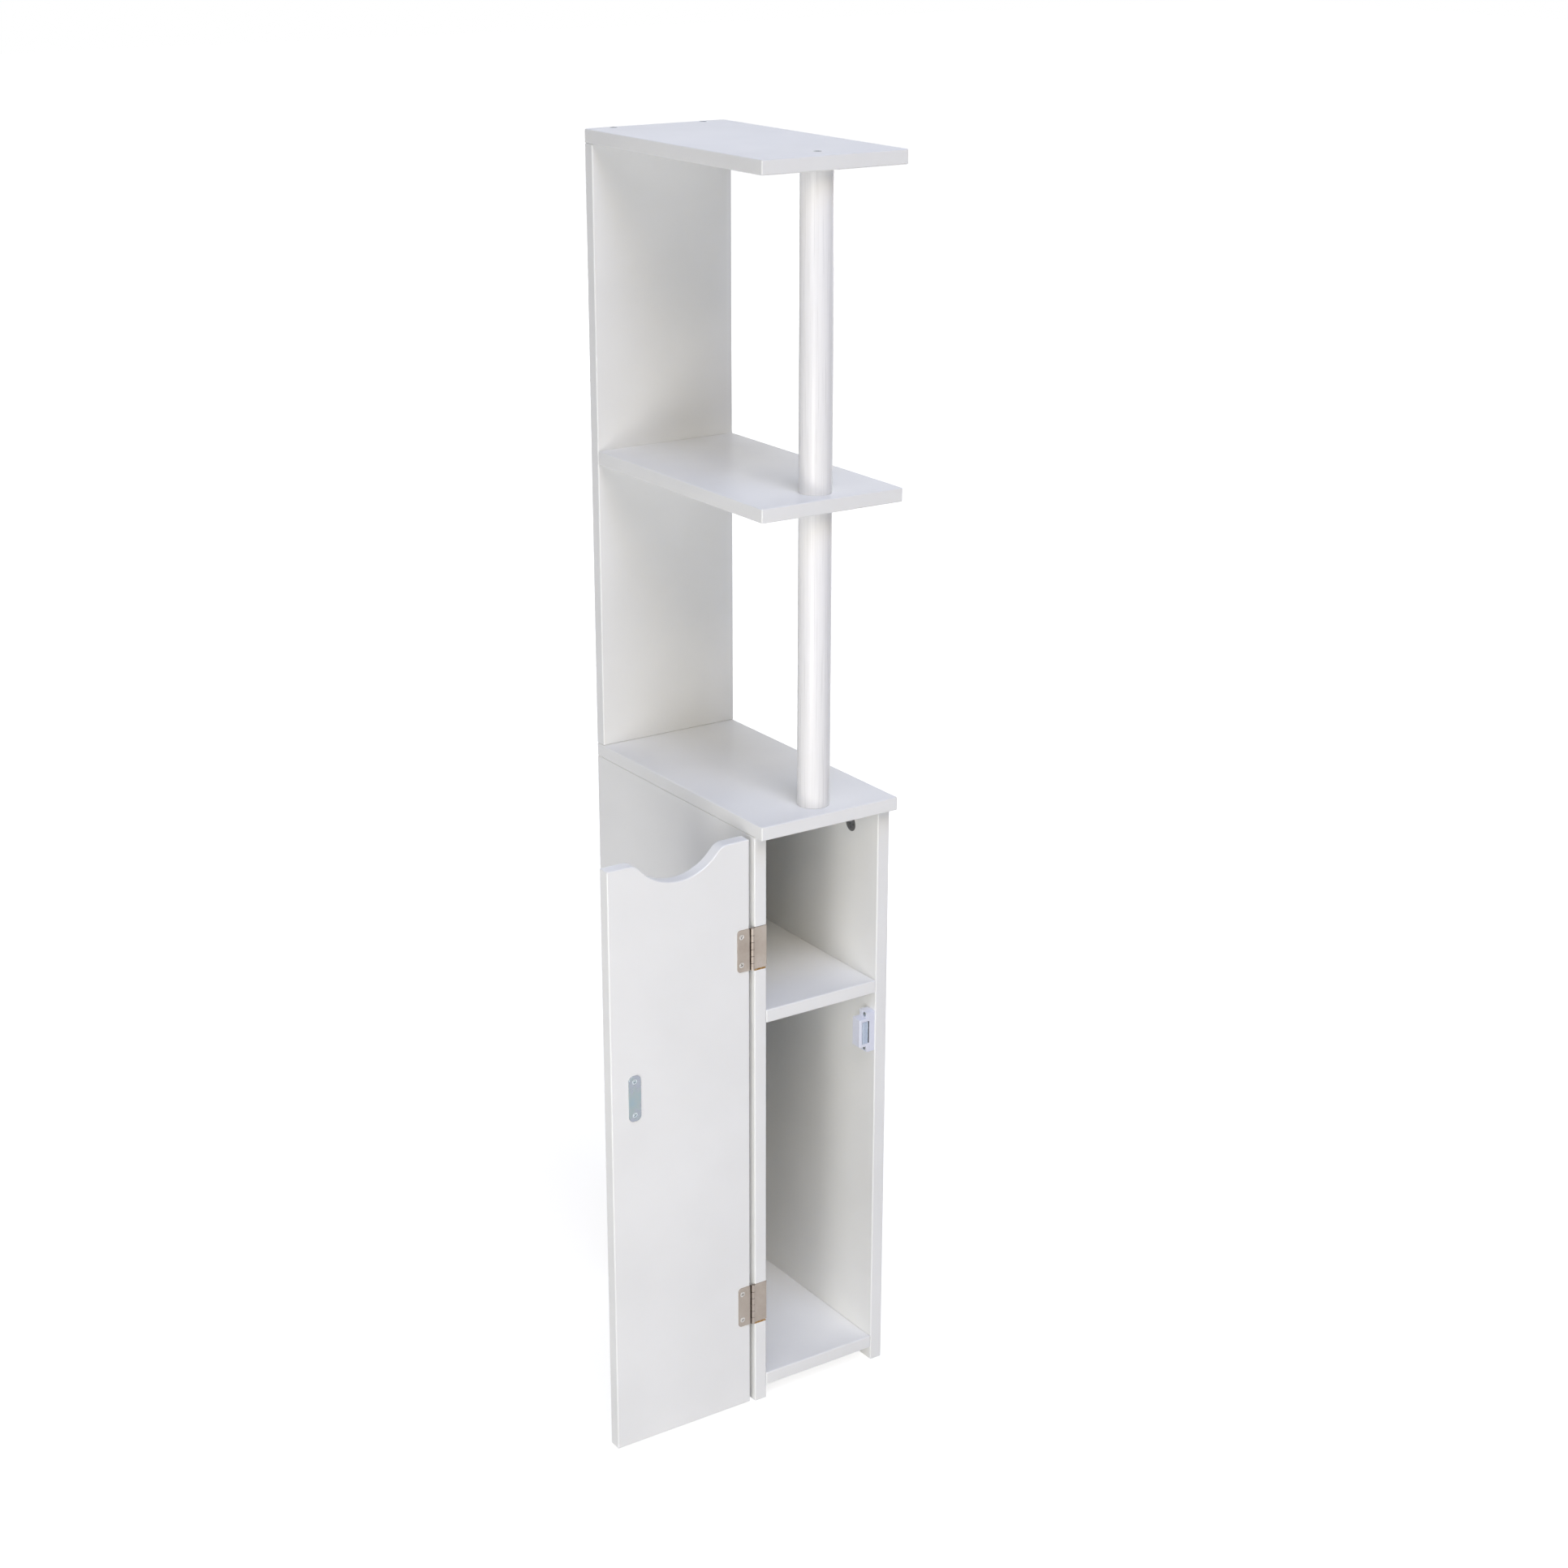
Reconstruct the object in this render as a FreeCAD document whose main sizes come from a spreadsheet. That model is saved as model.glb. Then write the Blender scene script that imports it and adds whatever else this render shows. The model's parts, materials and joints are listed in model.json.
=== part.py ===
import FreeCAD, Part
import os
import re

import Sketcher

# Narrow bathroom cabinet: a cupboard with one door below, two open shelves on a back panel and a
# round front post above. Millimetres, +Z up, front towards -Y. The origin is on the floor, below
# the door's hinge pins and midway through the depth; the door is built open, flat beside the front.

SIZES = {
    # Whole cabinet: outside sizes, board thickness, rounding of board edges
    "width": 150,
    "depth": 290,
    "height": 1180,
    "board": 13,
    "edge_radius": 1.2,
    # Play of every bore and groove, and how far a cut runs past the solid
    "clearance": 0.1,
    "overrun": 5,
    # Upper faces of the level boards, from the floor, and reach of the cabinet top past the panels
    "cabinet_height": 595,
    "middle_height": 886,
    "inner_height": 410,
    "bottom_height": 27,
    "front_overhang": 12,
    # Posts: from the front edge to their middle, and the stud that joins them
    "post_diameter": 30,
    "post_setback": 28,
    "stud_radius": 3,
    "stud_bite": 20,
    "stud_chamfer": 1,
    # Hardboard cabinet back and its grooves
    "back_board": 3,
    "back_inset": 9,
    "groove_depth": 5,
    # Door and the scoop in its top edge
    "door_width": 148,
    "door_thickness": 13,
    "door_top_gap": 1,
    "door_floor_gap": 1,
    "scoop_width": 104,
    "scoop_depth": 24,
    "scoop_radius": 53,
    # Hinges: pressed plate, pin and knuckles, screws; the inset runs from the door's end to the middle,
    # and the mortise is longer than the leaf by its head above and its slack below
    "plate": 1,
    "hinge_height": 41,
    "hinge_inset": 106.5,
    "leaf_gap": 0.4,
    "leaf_reach": 15.6,
    "leaf_wrap": 18,
    "leaf_corner": 3,
    "pin_radius": 1,
    "pin_play": 0.05,
    "knuckle_gap": 0.2,
    "knuckle_room": 0.3,
    "mortise_sink": 0.5,
    "mortise_head": 0.6,
    "mortise_slack": 1.5,
    "hinge_screw_reach": 11.2,
    "hinge_screw_spacing": 27.5,
    "wrap_screw_reach": 11,
    # Magnetic catch: housing with two ears, magnet between two pole plates that float in a wide window
    "catch_height": 358,
    "catch_length": 41,
    "catch_base": 9,
    "catch_depth": 12.2,
    "catch_wall": 3.1,
    "catch_back": 6.3,
    "catch_float": 1.6,
    "catch_rounding": 1,
    "catch_screw_spacing": 34.6,
    "catch_screw_setback": 4.5,
    "catch_screw_head": 2.4,
    "catch_screw_length": 16,
    "catch_gap": 0.3,
    "pole_thickness": 1.3,
    "pole_height": 22.4,
    "pole_depth": 10,
    "pole_proud": 0.4,
    "magnet_thickness": 3.5,
    "magnet_sink": 0.4,
    # Strike plate on the door
    "strike_width": 12.5,
    "strike_height": 45,
    "strike_corner": 5,
    "strike_screw_spacing": 33,
    "strike_lap": 1.2,
    # Cam locks in the side panels, the bolts they pull on, and dowels
    "cam_radius": 7.5,
    "cam_depth": 9.5,
    "cam_drop": 27.2,
    "cam_setback": 43.5,
    "bolt_thread_radius": 2.5,
    "bolt_thread_length": 8,
    "bolt_neck_radius": 1.8,
    "bolt_head_radius": 2.8,
    "bolt_head_length": 5,
    "dowel_radius": 3,
    "dowel_length": 28,
    "dowel_rise": 8,
    "dowel_chamfer": 0.8,
    "dowel_spacing": 32,
    # Countersunk screws between boards, and where they sit
    "board_screw_radius": 2,
    "board_screw_head": 3.8,
    "board_screw_sink": 2.4,
    "board_screw_length": 40,
    "shelf_screw_inset": 45,
    "rear_screw_inset": 27,
    # Small countersunk screws of the hinges, catch and strike plate
    "small_screw_radius": 1.5,
    "small_screw_head": 3.1,
    "small_screw_length": 10,
    # Cross recess in a head, as shares of its radius and depth
    "cross_arm_share": 0.14,
    "cross_reach_share": 0.62,
    "cross_depth_share": 0.6,
}

KNUCKLES = 6
SAME = 1e-4

# Places and sizes that follow from the driving ones
KNUCKLE = "(pin_radius + pin_play + plate)"
LEFT = f"({KNUCKLE} + knuckle_room)"
RIGHT = f"({LEFT} + width)"
FRONT = "(-depth / 2)"
REAR = "(depth / 2)"
PANEL_FRONT = "(front_overhang - depth / 2)"
PANEL_DEPTH = "(depth - front_overhang)"
PANEL_HEIGHT = "(cabinet_height - board)"
INNER_WIDTH = "(width - 2 * board)"
INNER_DEPTH = f"({PANEL_DEPTH} - back_inset - back_board - clearance)"
SCREW_BITE = "(board_screw_length - board + clearance)"
MORTISE = "(plate + mortise_sink)"
PIN_Y = f"({PANEL_FRONT} + mortise_sink - leaf_gap / 2)"
DOOR_FACE = f"({PANEL_FRONT} + {MORTISE})"
DOOR_HEIGHT = f"({PANEL_HEIGHT} - door_top_gap - door_floor_gap)"
HINGE_LEVELS = {
    "upper": f"(door_floor_gap + {DOOR_HEIGHT} - hinge_inset)",
    "lower": "(door_floor_gap + hinge_inset)",
}
POLE_PACK = "(magnet_thickness + 2 * pole_thickness)"
CATCH_REACH = f"({POLE_PACK} + catch_float + 2 * clearance + catch_wall + catch_back)"
CATCH_BOX = "(pole_height + 2 * clearance + 2 * catch_wall)"
CATCH_X = f"({RIGHT} - board)"
CATCH_Y = f"({PIN_Y} - leaf_gap / 2 + catch_gap + pole_proud)"
PACK_X = f"({CATCH_X} - {CATCH_REACH} + catch_wall + clearance)"
STRIKE_X = f"(strike_width / 2 - {PACK_X} - {POLE_PACK} - strike_lap)"
CAM_PLACES = ("cam_setback", f"({PANEL_DEPTH} - cam_setback)")
DOWEL_PLACES = ("(cam_setback + dowel_spacing)", f"({PANEL_DEPTH} - cam_setback - dowel_spacing)")
SHELF_SCREWS = ("shelf_screw_inset", f"({INNER_DEPTH} - shelf_screw_inset)")
REAR_SCREWS = ("rear_screw_inset", "(width - rear_screw_inset)")
CROWN_SCREWS = [(x, "(depth - board / 2)") for x in REAR_SCREWS] + [("(width / 2)", "post_setback")]
SHELF_LEVELS = {"bottom_board": "bottom_height", "inner_shelf": "inner_height"}

# How a fastener made along Z, its head up, is turned to drive it in each direction
X, Y, Z = FreeCAD.Vector(1, 0, 0), FreeCAD.Vector(0, 1, 0), FreeCAD.Vector(0, 0, 1)
DRIVEN = {
    "down": FreeCAD.Rotation(),
    "up": FreeCAD.Rotation(X, 180),
    "right": FreeCAD.Rotation(Y, -90),
    "left": FreeCAD.Rotation(Y, 90),
    "back": FreeCAD.Rotation(X, 90),
    "forward": FreeCAD.Rotation(X, -90),
}
# A cam lock's face and its slot have to point inwards and up
FACE_RIGHT = FreeCAD.Rotation(X + Y + Z, 120)
FACE_LEFT = FreeCAD.Rotation(Z, 180) * FACE_RIGHT

doc = FreeCAD.newDocument("cabinet")
sheet = doc.addObject("Spreadsheet::Sheet", "sizes")
for row, (alias, size) in enumerate(SIZES.items(), start=1):
    sheet.set(f"A{row}", alias)
    sheet.set(f"B{row}", str(size))
    sheet.setAlias(f"B{row}", alias)
doc.recompute()

nodes = []
cuts = []


# Sizes, sketches and features

def formula(text):
    return re.sub(r"[a-z_]+", lambda word: f"sizes.{word[0]}" if word[0] in SIZES else word[0], text)


def bind(item, prop, text):
    item.setExpression(prop, formula(text))


def number(text):
    return float(sheet.evalExpression(formula(text)))


def place(item, x, y, z):
    for axis, text in zip("xyz", (x, y, z)):
        bind(item, f"Placement.Base.{axis}", text)


def new_body(label, x="0", y="0", z="0", node=True):
    body = doc.addObject("PartDesign::Body", label)
    body.Label = label
    place(body, x, y, z)
    if node:
        nodes.append(body)
    return body


def sketch_on(body, role, offset="0"):
    sketch = body.newObject("Sketcher::SketchObject", f"{body.Name}_sketch")
    sketch.AttachmentSupport = [(next(f for f in body.Origin.OriginFeatures if f.Role == role), "")]
    sketch.MapMode = "FlatFace"
    bind(sketch, "AttachmentOffset.Base.z", offset)
    return sketch


def locate(sketch, item, point, x, y):
    for kind, text, axis in (("DistanceX", x, -2), ("DistanceY", y, -1)):
        if text == "0":
            sketch.addConstraint(Sketcher.Constraint("PointOnObject", item, point, axis))
        else:
            index = sketch.addConstraint(Sketcher.Constraint(kind, -1, 1, item, point, number(text)))
            bind(sketch, f"Constraints[{index}]", text)


def polygon(sketch, points):
    corners = [FreeCAD.Vector(number(x), number(y), 0) for x, y in points]
    first = sketch.GeometryCount
    count = len(points)
    for i in range(count):
        sketch.addGeometry(Part.LineSegment(corners[i], corners[(i + 1) % count]), False)
    for i, (x, y) in enumerate(points):
        following = first + (i + 1) % count
        sketch.addConstraint(Sketcher.Constraint("Coincident", first + i, 2, following, 1))
        locate(sketch, first + i, 1, x, y)


def rectangle(sketch, x0, y0, x1, y1):
    polygon(sketch, [(x0, y0), (x1, y0), (x1, y1), (x0, y1)])


def circles(sketch, centres, radius):
    for x, y in centres:
        middle = FreeCAD.Vector(number(x), number(y), 0)
        ring = sketch.addGeometry(Part.Circle(middle, Z, number(radius)), False)
        index = sketch.addConstraint(Sketcher.Constraint("Radius", ring, number(radius)))
        bind(sketch, f"Constraints[{index}]", radius)
        locate(sketch, ring, 3, x, y)


def pad(body, sketch, length, reverse=False, both_ways=False):
    feature = body.newObject("PartDesign::Pad", f"{body.Name}_pad")
    feature.Profile = sketch
    feature.Reversed = reverse
    feature.Midplane = both_ways
    bind(feature, "Length", length)
    return feature


def pocket(body, sketch, depth=None, reverse=False):
    feature = body.newObject("PartDesign::Pocket", f"{body.Name}_pocket")
    feature.Profile = sketch
    feature.Reversed = reverse
    if depth:
        bind(feature, "Length", depth)
    else:
        feature.Type = "ThroughAll"
        feature.Midplane = True
    cuts.append(feature)
    return feature


def countersink(body, sketch, radius, head, sink, reverse=False):
    doc.recompute()
    feature = body.newObject("PartDesign::Hole", f"{body.Name}_hole")
    feature.Profile = sketch
    doc.recompute()
    feature.Reversed = reverse
    feature.DepthType = "ThroughAll"
    bind(feature, "Diameter", f"2 * ({radius} + clearance)")
    feature.HoleCutType = "Countersink"
    feature.HoleCutCustomValues = True
    bind(feature, "HoleCutDiameter", f"2 * ({head} + clearance)")
    bind(feature, "HoleCutCountersinkAngle", f"2 * atan(({head} - {radius}) / {sink})")
    cuts.append(feature)
    return feature


def round_edges(body, feature, radius, chosen=lambda edge: True):
    doc.recompute()
    names = [f"Edge{i}" for i, edge in enumerate(feature.Shape.Edges, start=1) if chosen(edge)]
    fillet = body.newObject("PartDesign::Fillet", f"{body.Name}_rounding")
    fillet.Base = (feature, names)
    bind(fillet, "Radius", radius)
    return fillet


def runs_along(edge, axis):
    lengths = {"x": edge.BoundBox.XLength, "y": edge.BoundBox.YLength, "z": edge.BoundBox.ZLength}
    return all(length < SAME for name, length in lengths.items() if name != axis)


def turned(label, profile):
    body = new_body(label, node=False)
    sketch = sketch_on(body, "XZ_Plane")
    polygon(sketch, profile)
    feature = body.newObject("PartDesign::Revolution", f"{label}_turned")
    feature.Profile = sketch
    feature.ReferenceAxis = (sketch, ["V_Axis"])
    feature.Angle = 360
    return body


def cross_recess(body, radius, depth):
    arm = f"{radius} * cross_arm_share"
    reach = f"{radius} * cross_reach_share"
    sketch = sketch_on(body, "XY_Plane")
    polygon(sketch, [
        (arm, arm), (arm, reach), (f"-{arm}", reach), (f"-{arm}", arm),
        (f"-{reach}", arm), (f"-{reach}", f"-{arm}"), (f"-{arm}", f"-{arm}"), (f"-{arm}", f"-{reach}"),
        (arm, f"-{reach}"), (arm, f"-{arm}"), (reach, f"-{arm}"), (reach, arm),
    ])
    pocket(body, sketch, f"{depth} * cross_depth_share")


def group(label, original, places):
    copies = []
    for x, y, z, turn in places:
        copy = doc.addObject("App::Link", f"{label}_{len(copies) + 1}")
        copy.LinkedObject = original
        copy.Placement = FreeCAD.Placement(FreeCAD.Vector(), turn)
        place(copy, x, y, z)
        copies.append(copy)
    made = doc.addObject("Part::Compound", label)
    made.Label = label
    made.Links = copies
    nodes.append(made)


# A board: its lowest corner's place, its size, and work on its six faces in its own corner's frame

class Board:
    def __init__(self, label, corner, size, rounded=True):
        self.body = new_body(label, *corner)
        self.size = size
        sketch = sketch_on(self.body, "XY_Plane")
        rectangle(sketch, "0", "0", size[0], size[1])
        block = pad(self.body, sketch, size[2])
        if rounded:
            round_edges(self.body, block, "edge_radius")

    def face(self, name):
        x, y, z = self.size
        role, offset, reverse = {
            "left": ("YZ_Plane", "0", True),
            "right": ("YZ_Plane", x, False),
            "front": ("XZ_Plane", "0", False),
            "rear": ("XZ_Plane", f"-{y}", True),
            "bottom": ("XY_Plane", "0", True),
            "top": ("XY_Plane", z, False),
        }[name]
        return sketch_on(self.body, role, offset), reverse

    def bore(self, face, centres, radius, depth=None):
        sketch, reverse = self.face(face)
        circles(sketch, centres, f"({radius} + clearance)")
        pocket(self.body, sketch, depth, reverse)

    def screw_holes(self, face, centres):
        sketch, reverse = self.face(face)
        circles(sketch, centres, "board_screw_radius")
        countersink(self.body, sketch, "board_screw_radius", "board_screw_head", "board_screw_sink", reverse)

    def slot(self, face, x0, y0, x1, y1, depth=None):
        sketch, reverse = self.face(face)
        rectangle(sketch, x0, y0, x1, y1)
        pocket(self.body, sketch, depth, reverse)


# Cupboard boards

def hinge_screw_levels(middle):
    return (f"({middle} - hinge_screw_spacing / 2)", f"({middle} + hinge_screw_spacing / 2)")


def side_panel(label, x, inner, outer):
    panel = Board(label, (x, PANEL_FRONT, "0"), ("board", PANEL_DEPTH, PANEL_HEIGHT))
    groove_rear = f"({PANEL_DEPTH} - back_inset)"
    panel.slot(inner, f"({groove_rear} - back_board - 2 * clearance)", "-overrun",
               groove_rear, f"({PANEL_HEIGHT} + overrun)", "groove_depth")
    cam_level = f"({PANEL_HEIGHT} - cam_drop)"
    panel.bore(inner, [(y, cam_level) for y in CAM_PLACES], "cam_radius", "(cam_depth + clearance)")
    panel.bore("top", [("board / 2", y) for y in CAM_PLACES], "bolt_head_radius", "cam_drop")
    panel.bore("top", [("board / 2", y) for y in DOWEL_PLACES], "dowel_radius",
               "(dowel_length - dowel_rise + clearance)")
    panel.screw_holes(outer, [(y, f"({z} - board / 2)") for z in SHELF_LEVELS.values() for y in SHELF_SCREWS])
    return panel


def left_side_panel():
    panel = side_panel("left_side_panel", LEFT, "right", "left")
    for middle in HINGE_LEVELS.values():
        low = f"({middle} - hinge_height / 2 - mortise_slack)"
        high = f"({middle} + hinge_height / 2 + mortise_head)"
        panel.slot("left", "-overrun", low, MORTISE, high)
        screw_y = "(mortise_sink + wrap_screw_reach)"
        panel.bore("right", [(screw_y, z) for z in hinge_screw_levels(middle)], "small_screw_radius",
                   "(small_screw_length - plate + clearance)")


def right_side_panel():
    panel = side_panel("right_side_panel", f"({RIGHT} - board)", "left", "right")
    screw_y = f"({CATCH_Y} + catch_screw_setback - {PANEL_FRONT})"
    levels = ("(catch_height - catch_screw_spacing / 2)", "(catch_height + catch_screw_spacing / 2)")
    panel.bore("left", [(screw_y, z) for z in levels], "small_screw_radius",
               "(catch_screw_length - catch_base + clearance)")


def cupboard_shelves():
    for label, level in SHELF_LEVELS.items():
        shelf = Board(label, (f"({LEFT} + board)", PANEL_FRONT, f"({level} - board)"),
                      (INNER_WIDTH, INNER_DEPTH, "board"))
        for side in ("left", "right"):
            shelf.bore(side, [(y, "board / 2") for y in SHELF_SCREWS], "board_screw_radius", SCREW_BITE)


def cabinet_back():
    tongue = "(groove_depth - clearance)"
    floor = "(bottom_height - board)"
    Board("cabinet_back", (f"({LEFT} + board - {tongue})", f"({PANEL_FRONT} + {INNER_DEPTH})", floor),
          (f"({INNER_WIDTH} + 2 * {tongue})", "back_board", f"({PANEL_HEIGHT} - {floor})"), rounded=False)


def cabinet_top():
    top = Board("cabinet_top", (LEFT, FRONT, PANEL_HEIGHT), ("width", "depth", "board"))
    sides = ("board / 2", "(width - board / 2)")
    top.bore("bottom", [(x, f"(front_overhang + {y})") for x in sides for y in CAM_PLACES],
             "bolt_thread_radius", "(bolt_thread_length + clearance)")
    top.bore("bottom", [(x, f"(front_overhang + {y})") for x in sides for y in DOWEL_PLACES],
             "dowel_radius", "(dowel_rise + clearance)")
    top.screw_holes("bottom", CROWN_SCREWS)


# Open shelves, their back panel and the posts

def upper_back_panel():
    panel = Board("upper_back_panel", (LEFT, f"({REAR} - board)", "cabinet_height"),
                  ("width", "board", "(height - board - cabinet_height)"))
    for end in ("bottom", "top"):
        panel.bore(end, [(x, "board / 2") for x in REAR_SCREWS], "board_screw_radius", SCREW_BITE)
    panel.screw_holes("rear", [(x, "(middle_height - board / 2 - cabinet_height)") for x in REAR_SCREWS])


def middle_shelf():
    shelf = Board("middle_shelf", (LEFT, FRONT, "(middle_height - board)"),
                  ("width", "(depth - board)", "board"))
    shelf.bore("rear", [(x, "board / 2") for x in REAR_SCREWS], "board_screw_radius", SCREW_BITE)
    shelf.bore("top", [("width / 2", "post_setback")], "stud_radius")


def top_shelf():
    shelf = Board("top_shelf", (LEFT, FRONT, "(height - board)"), ("width", "depth", "board"))
    shelf.screw_holes("top", CROWN_SCREWS)


def post(label, foot, length, screw_below):
    body = new_body(label, f"({LEFT} + width / 2)", f"({FRONT} + post_setback)", foot)
    sketch = sketch_on(body, "XY_Plane")
    circles(sketch, [("0", "0")], "post_diameter / 2")
    pad(body, sketch, length)
    screw = ("(board_screw_radius + clearance)", SCREW_BITE)
    stud = ("(stud_radius + clearance)", "(stud_bite + clearance)")
    for (radius, depth), offset, reverse in (
        (screw if screw_below else stud, "0", True),
        (stud if screw_below else screw, length, False),
    ):
        end = sketch_on(body, "XY_Plane", offset)
        circles(end, [("0", "0")], radius)
        pocket(body, end, depth, reverse)


def posts():
    post("lower_post", "cabinet_height", "(middle_height - board - cabinet_height)", True)
    post("upper_post", "middle_height", "(height - board - middle_height)", False)


def post_stud():
    narrow = "(stud_radius - stud_chamfer)"
    length = "(board + 2 * stud_bite)"
    body = turned("post_stud", [
        ("0", "0"), (narrow, "0"), ("stud_radius", "stud_chamfer"),
        ("stud_radius", f"({length} - stud_chamfer)"), (narrow, length), ("0", length),
    ])
    place(body, f"({LEFT} + width / 2)", f"({FRONT} + post_setback)", "(middle_height - board - stud_bite)")
    nodes.append(body)


# Door: the scoop is a bowl arc between two shoulder arcs, all tangent to each other and to the flats

def door_outline(sketch):
    width, top = number("door_width"), number(DOOR_HEIGHT)
    half, drop, bowl = (number(text) for text in ("scoop_width / 2", "scoop_depth", "scoop_radius"))
    shoulder = (half * half + drop * drop) / (2 * drop) - bowl
    lean = FreeCAD.Vector(bowl + shoulder - drop, half, 0).getAngle(X)
    up = FreeCAD.Vector(0, 1, 0).getAngle(X)
    middle = width / 2

    def point(x, y):
        return FreeCAD.Vector(x, y, 0)

    def arc(x, y, radius, start, end):
        return Part.ArcOfCircle(Part.Circle(point(x, y), Z, radius), start, end)

    sketch.addGeometry([
        Part.LineSegment(point(0, top), point(0, 0)),
        Part.LineSegment(point(0, 0), point(width, 0)),
        Part.LineSegment(point(width, 0), point(width, top)),
        Part.LineSegment(point(width, top), point(middle + half, top)),
        arc(middle + half, top - shoulder, shoulder, up, up + lean),
        arc(middle, top - drop + bowl, bowl, 3 * up - lean, 3 * up + lean),
        arc(middle - half, top - shoulder, shoulder, up - lean, up),
        Part.LineSegment(point(middle - half, top), point(0, top)),
    ], False)
    free_edge, foot, hinge_edge, hinge_flat, hinge_arc, bowl_arc, free_arc, free_flat = range(8)
    start, end, centre = 1, 2, 3
    for first, second in (
        (free_edge, foot),
        (foot, hinge_edge),
        (hinge_edge, hinge_flat),
        (free_flat, free_edge),
    ):
        sketch.addConstraint(Sketcher.Constraint("Coincident", first, end, second, start))
    for first, first_end, second, second_end in (
        (hinge_flat, end, hinge_arc, start),
        (hinge_arc, end, bowl_arc, end),
        (bowl_arc, start, free_arc, start),
        (free_arc, end, free_flat, start),
    ):
        sketch.addConstraint(Sketcher.Constraint("Tangent", first, first_end, second, second_end))
    locate(sketch, foot, start, "0", "0")
    locate(sketch, hinge_edge, start, "door_width", "0")
    locate(sketch, hinge_flat, start, "door_width", DOOR_HEIGHT)
    locate(sketch, hinge_flat, end, "((door_width + scoop_width) / 2)", DOOR_HEIGHT)
    locate(sketch, free_flat, start, "((door_width - scoop_width) / 2)", DOOR_HEIGHT)
    locate(sketch, free_flat, end, "0", DOOR_HEIGHT)
    locate(sketch, bowl_arc, centre, "(door_width / 2)", f"({DOOR_HEIGHT} - scoop_depth + scoop_radius)")
    index = sketch.addConstraint(Sketcher.Constraint("Radius", bowl_arc, bowl))
    bind(sketch, f"Constraints[{index}]", "scoop_radius")


def door():
    free_edge = f"(-{LEFT} - door_width)"
    body = new_body("door", free_edge, DOOR_FACE, "door_floor_gap")
    sketch = sketch_on(body, "XZ_Plane")
    door_outline(sketch)
    slab = pad(body, sketch, "door_thickness", reverse=True)
    ends = (0, number("door_width"))

    def outer(edge):
        on_end = any(abs(edge.BoundBox.Center.x - x) < SAME for x in ends)
        return edge.BoundBox.YLength < SAME or on_end

    round_edges(body, slab, "edge_radius", outer)
    hinge_x = f"(-hinge_screw_reach - {free_edge})"
    screws = [(hinge_x, f"({z} - door_floor_gap)")
              for middle in HINGE_LEVELS.values() for z in hinge_screw_levels(middle)]
    strike_x = f"({STRIKE_X} - {free_edge})"
    strike_z = "(catch_height - door_floor_gap {} strike_screw_spacing / 2)"
    screws += [(strike_x, strike_z.format(sign)) for sign in "-+"]
    bores = sketch_on(body, "XZ_Plane")
    circles(bores, screws, "(small_screw_radius + clearance)")
    pocket(body, bores, "(small_screw_length - plate + clearance)")


# Hinges: every other knuckle belongs to the frame leaf, which wraps round the panel's front edge

def knuckles(body, missing):
    ring = sketch_on(body, "XY_Plane")
    circles(ring, [("0", "0")], KNUCKLE)
    pad(body, ring, "hinge_height")
    bore = sketch_on(body, "XY_Plane")
    circles(bore, [("0", "0")], "(pin_radius + pin_play)")
    pocket(body, bore)
    notches = sketch_on(body, "XZ_Plane")
    half = f"({KNUCKLE} + knuckle_gap)"
    for i in missing:
        low = f"(hinge_height * {i} / {KNUCKLES} - knuckle_gap / 2)"
        high = f"(hinge_height * {i + 1} / {KNUCKLES} + knuckle_gap / 2)"
        rectangle(notches, f"-{half}", low, half, high)
    pocket(body, notches)


def hinge(name, middle):
    foot = f"({middle} - hinge_height / 2)"
    near, far = "(leaf_gap / 2)", "(leaf_gap / 2 + plate)"
    screw_levels = hinge_screw_levels("(hinge_height / 2)")

    frame_leaf = new_body(f"{name}_hinge_frame_leaf", "0", PIN_Y, foot)
    inner = f"({LEFT} + board)"
    wrap_end = "(leaf_gap / 2 + leaf_wrap)"
    bend = sketch_on(frame_leaf, "XY_Plane")
    polygon(bend, [("0", near), (f"({inner} + plate)", near), (f"({inner} + plate)", wrap_end),
                   (inner, wrap_end), (inner, far), ("0", far)])
    sheet_metal = pad(frame_leaf, bend, "hinge_height")
    round_edges(frame_leaf, sheet_metal, "leaf_corner",
                lambda edge: runs_along(edge, "x") and abs(edge.BoundBox.YMin - number(wrap_end)) < SAME)
    knuckles(frame_leaf, range(1, KNUCKLES, 2))
    screws = sketch_on(frame_leaf, "YZ_Plane", f"({inner} + plate)")
    circles(screws, [("(leaf_gap / 2 + wrap_screw_reach)", z) for z in screw_levels], "small_screw_radius")
    countersink(frame_leaf, screws, "small_screw_radius", "small_screw_head", "plate")

    door_leaf = new_body(f"{name}_hinge_door_leaf", "0", PIN_Y, foot)
    flat = sketch_on(door_leaf, "XY_Plane")
    rectangle(flat, "-leaf_reach", near, "0", far)
    sheet_metal = pad(door_leaf, flat, "hinge_height")
    round_edges(door_leaf, sheet_metal, "leaf_corner",
                lambda edge: runs_along(edge, "y") and abs(edge.BoundBox.XMin + number("leaf_reach")) < SAME)
    knuckles(door_leaf, range(0, KNUCKLES, 2))
    screws = sketch_on(door_leaf, "XZ_Plane", f"-{near}")
    circles(screws, [("-hinge_screw_reach", z) for z in screw_levels], "small_screw_radius")
    countersink(door_leaf, screws, "small_screw_radius", "small_screw_head", "plate")

    pin = new_body(f"{name}_hinge_pin", "0", PIN_Y, foot)
    section = sketch_on(pin, "XY_Plane")
    circles(section, [("0", "0")], "pin_radius")
    pad(pin, section, "hinge_height")


# Magnetic catch on the right panel, strike plate on the door

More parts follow.
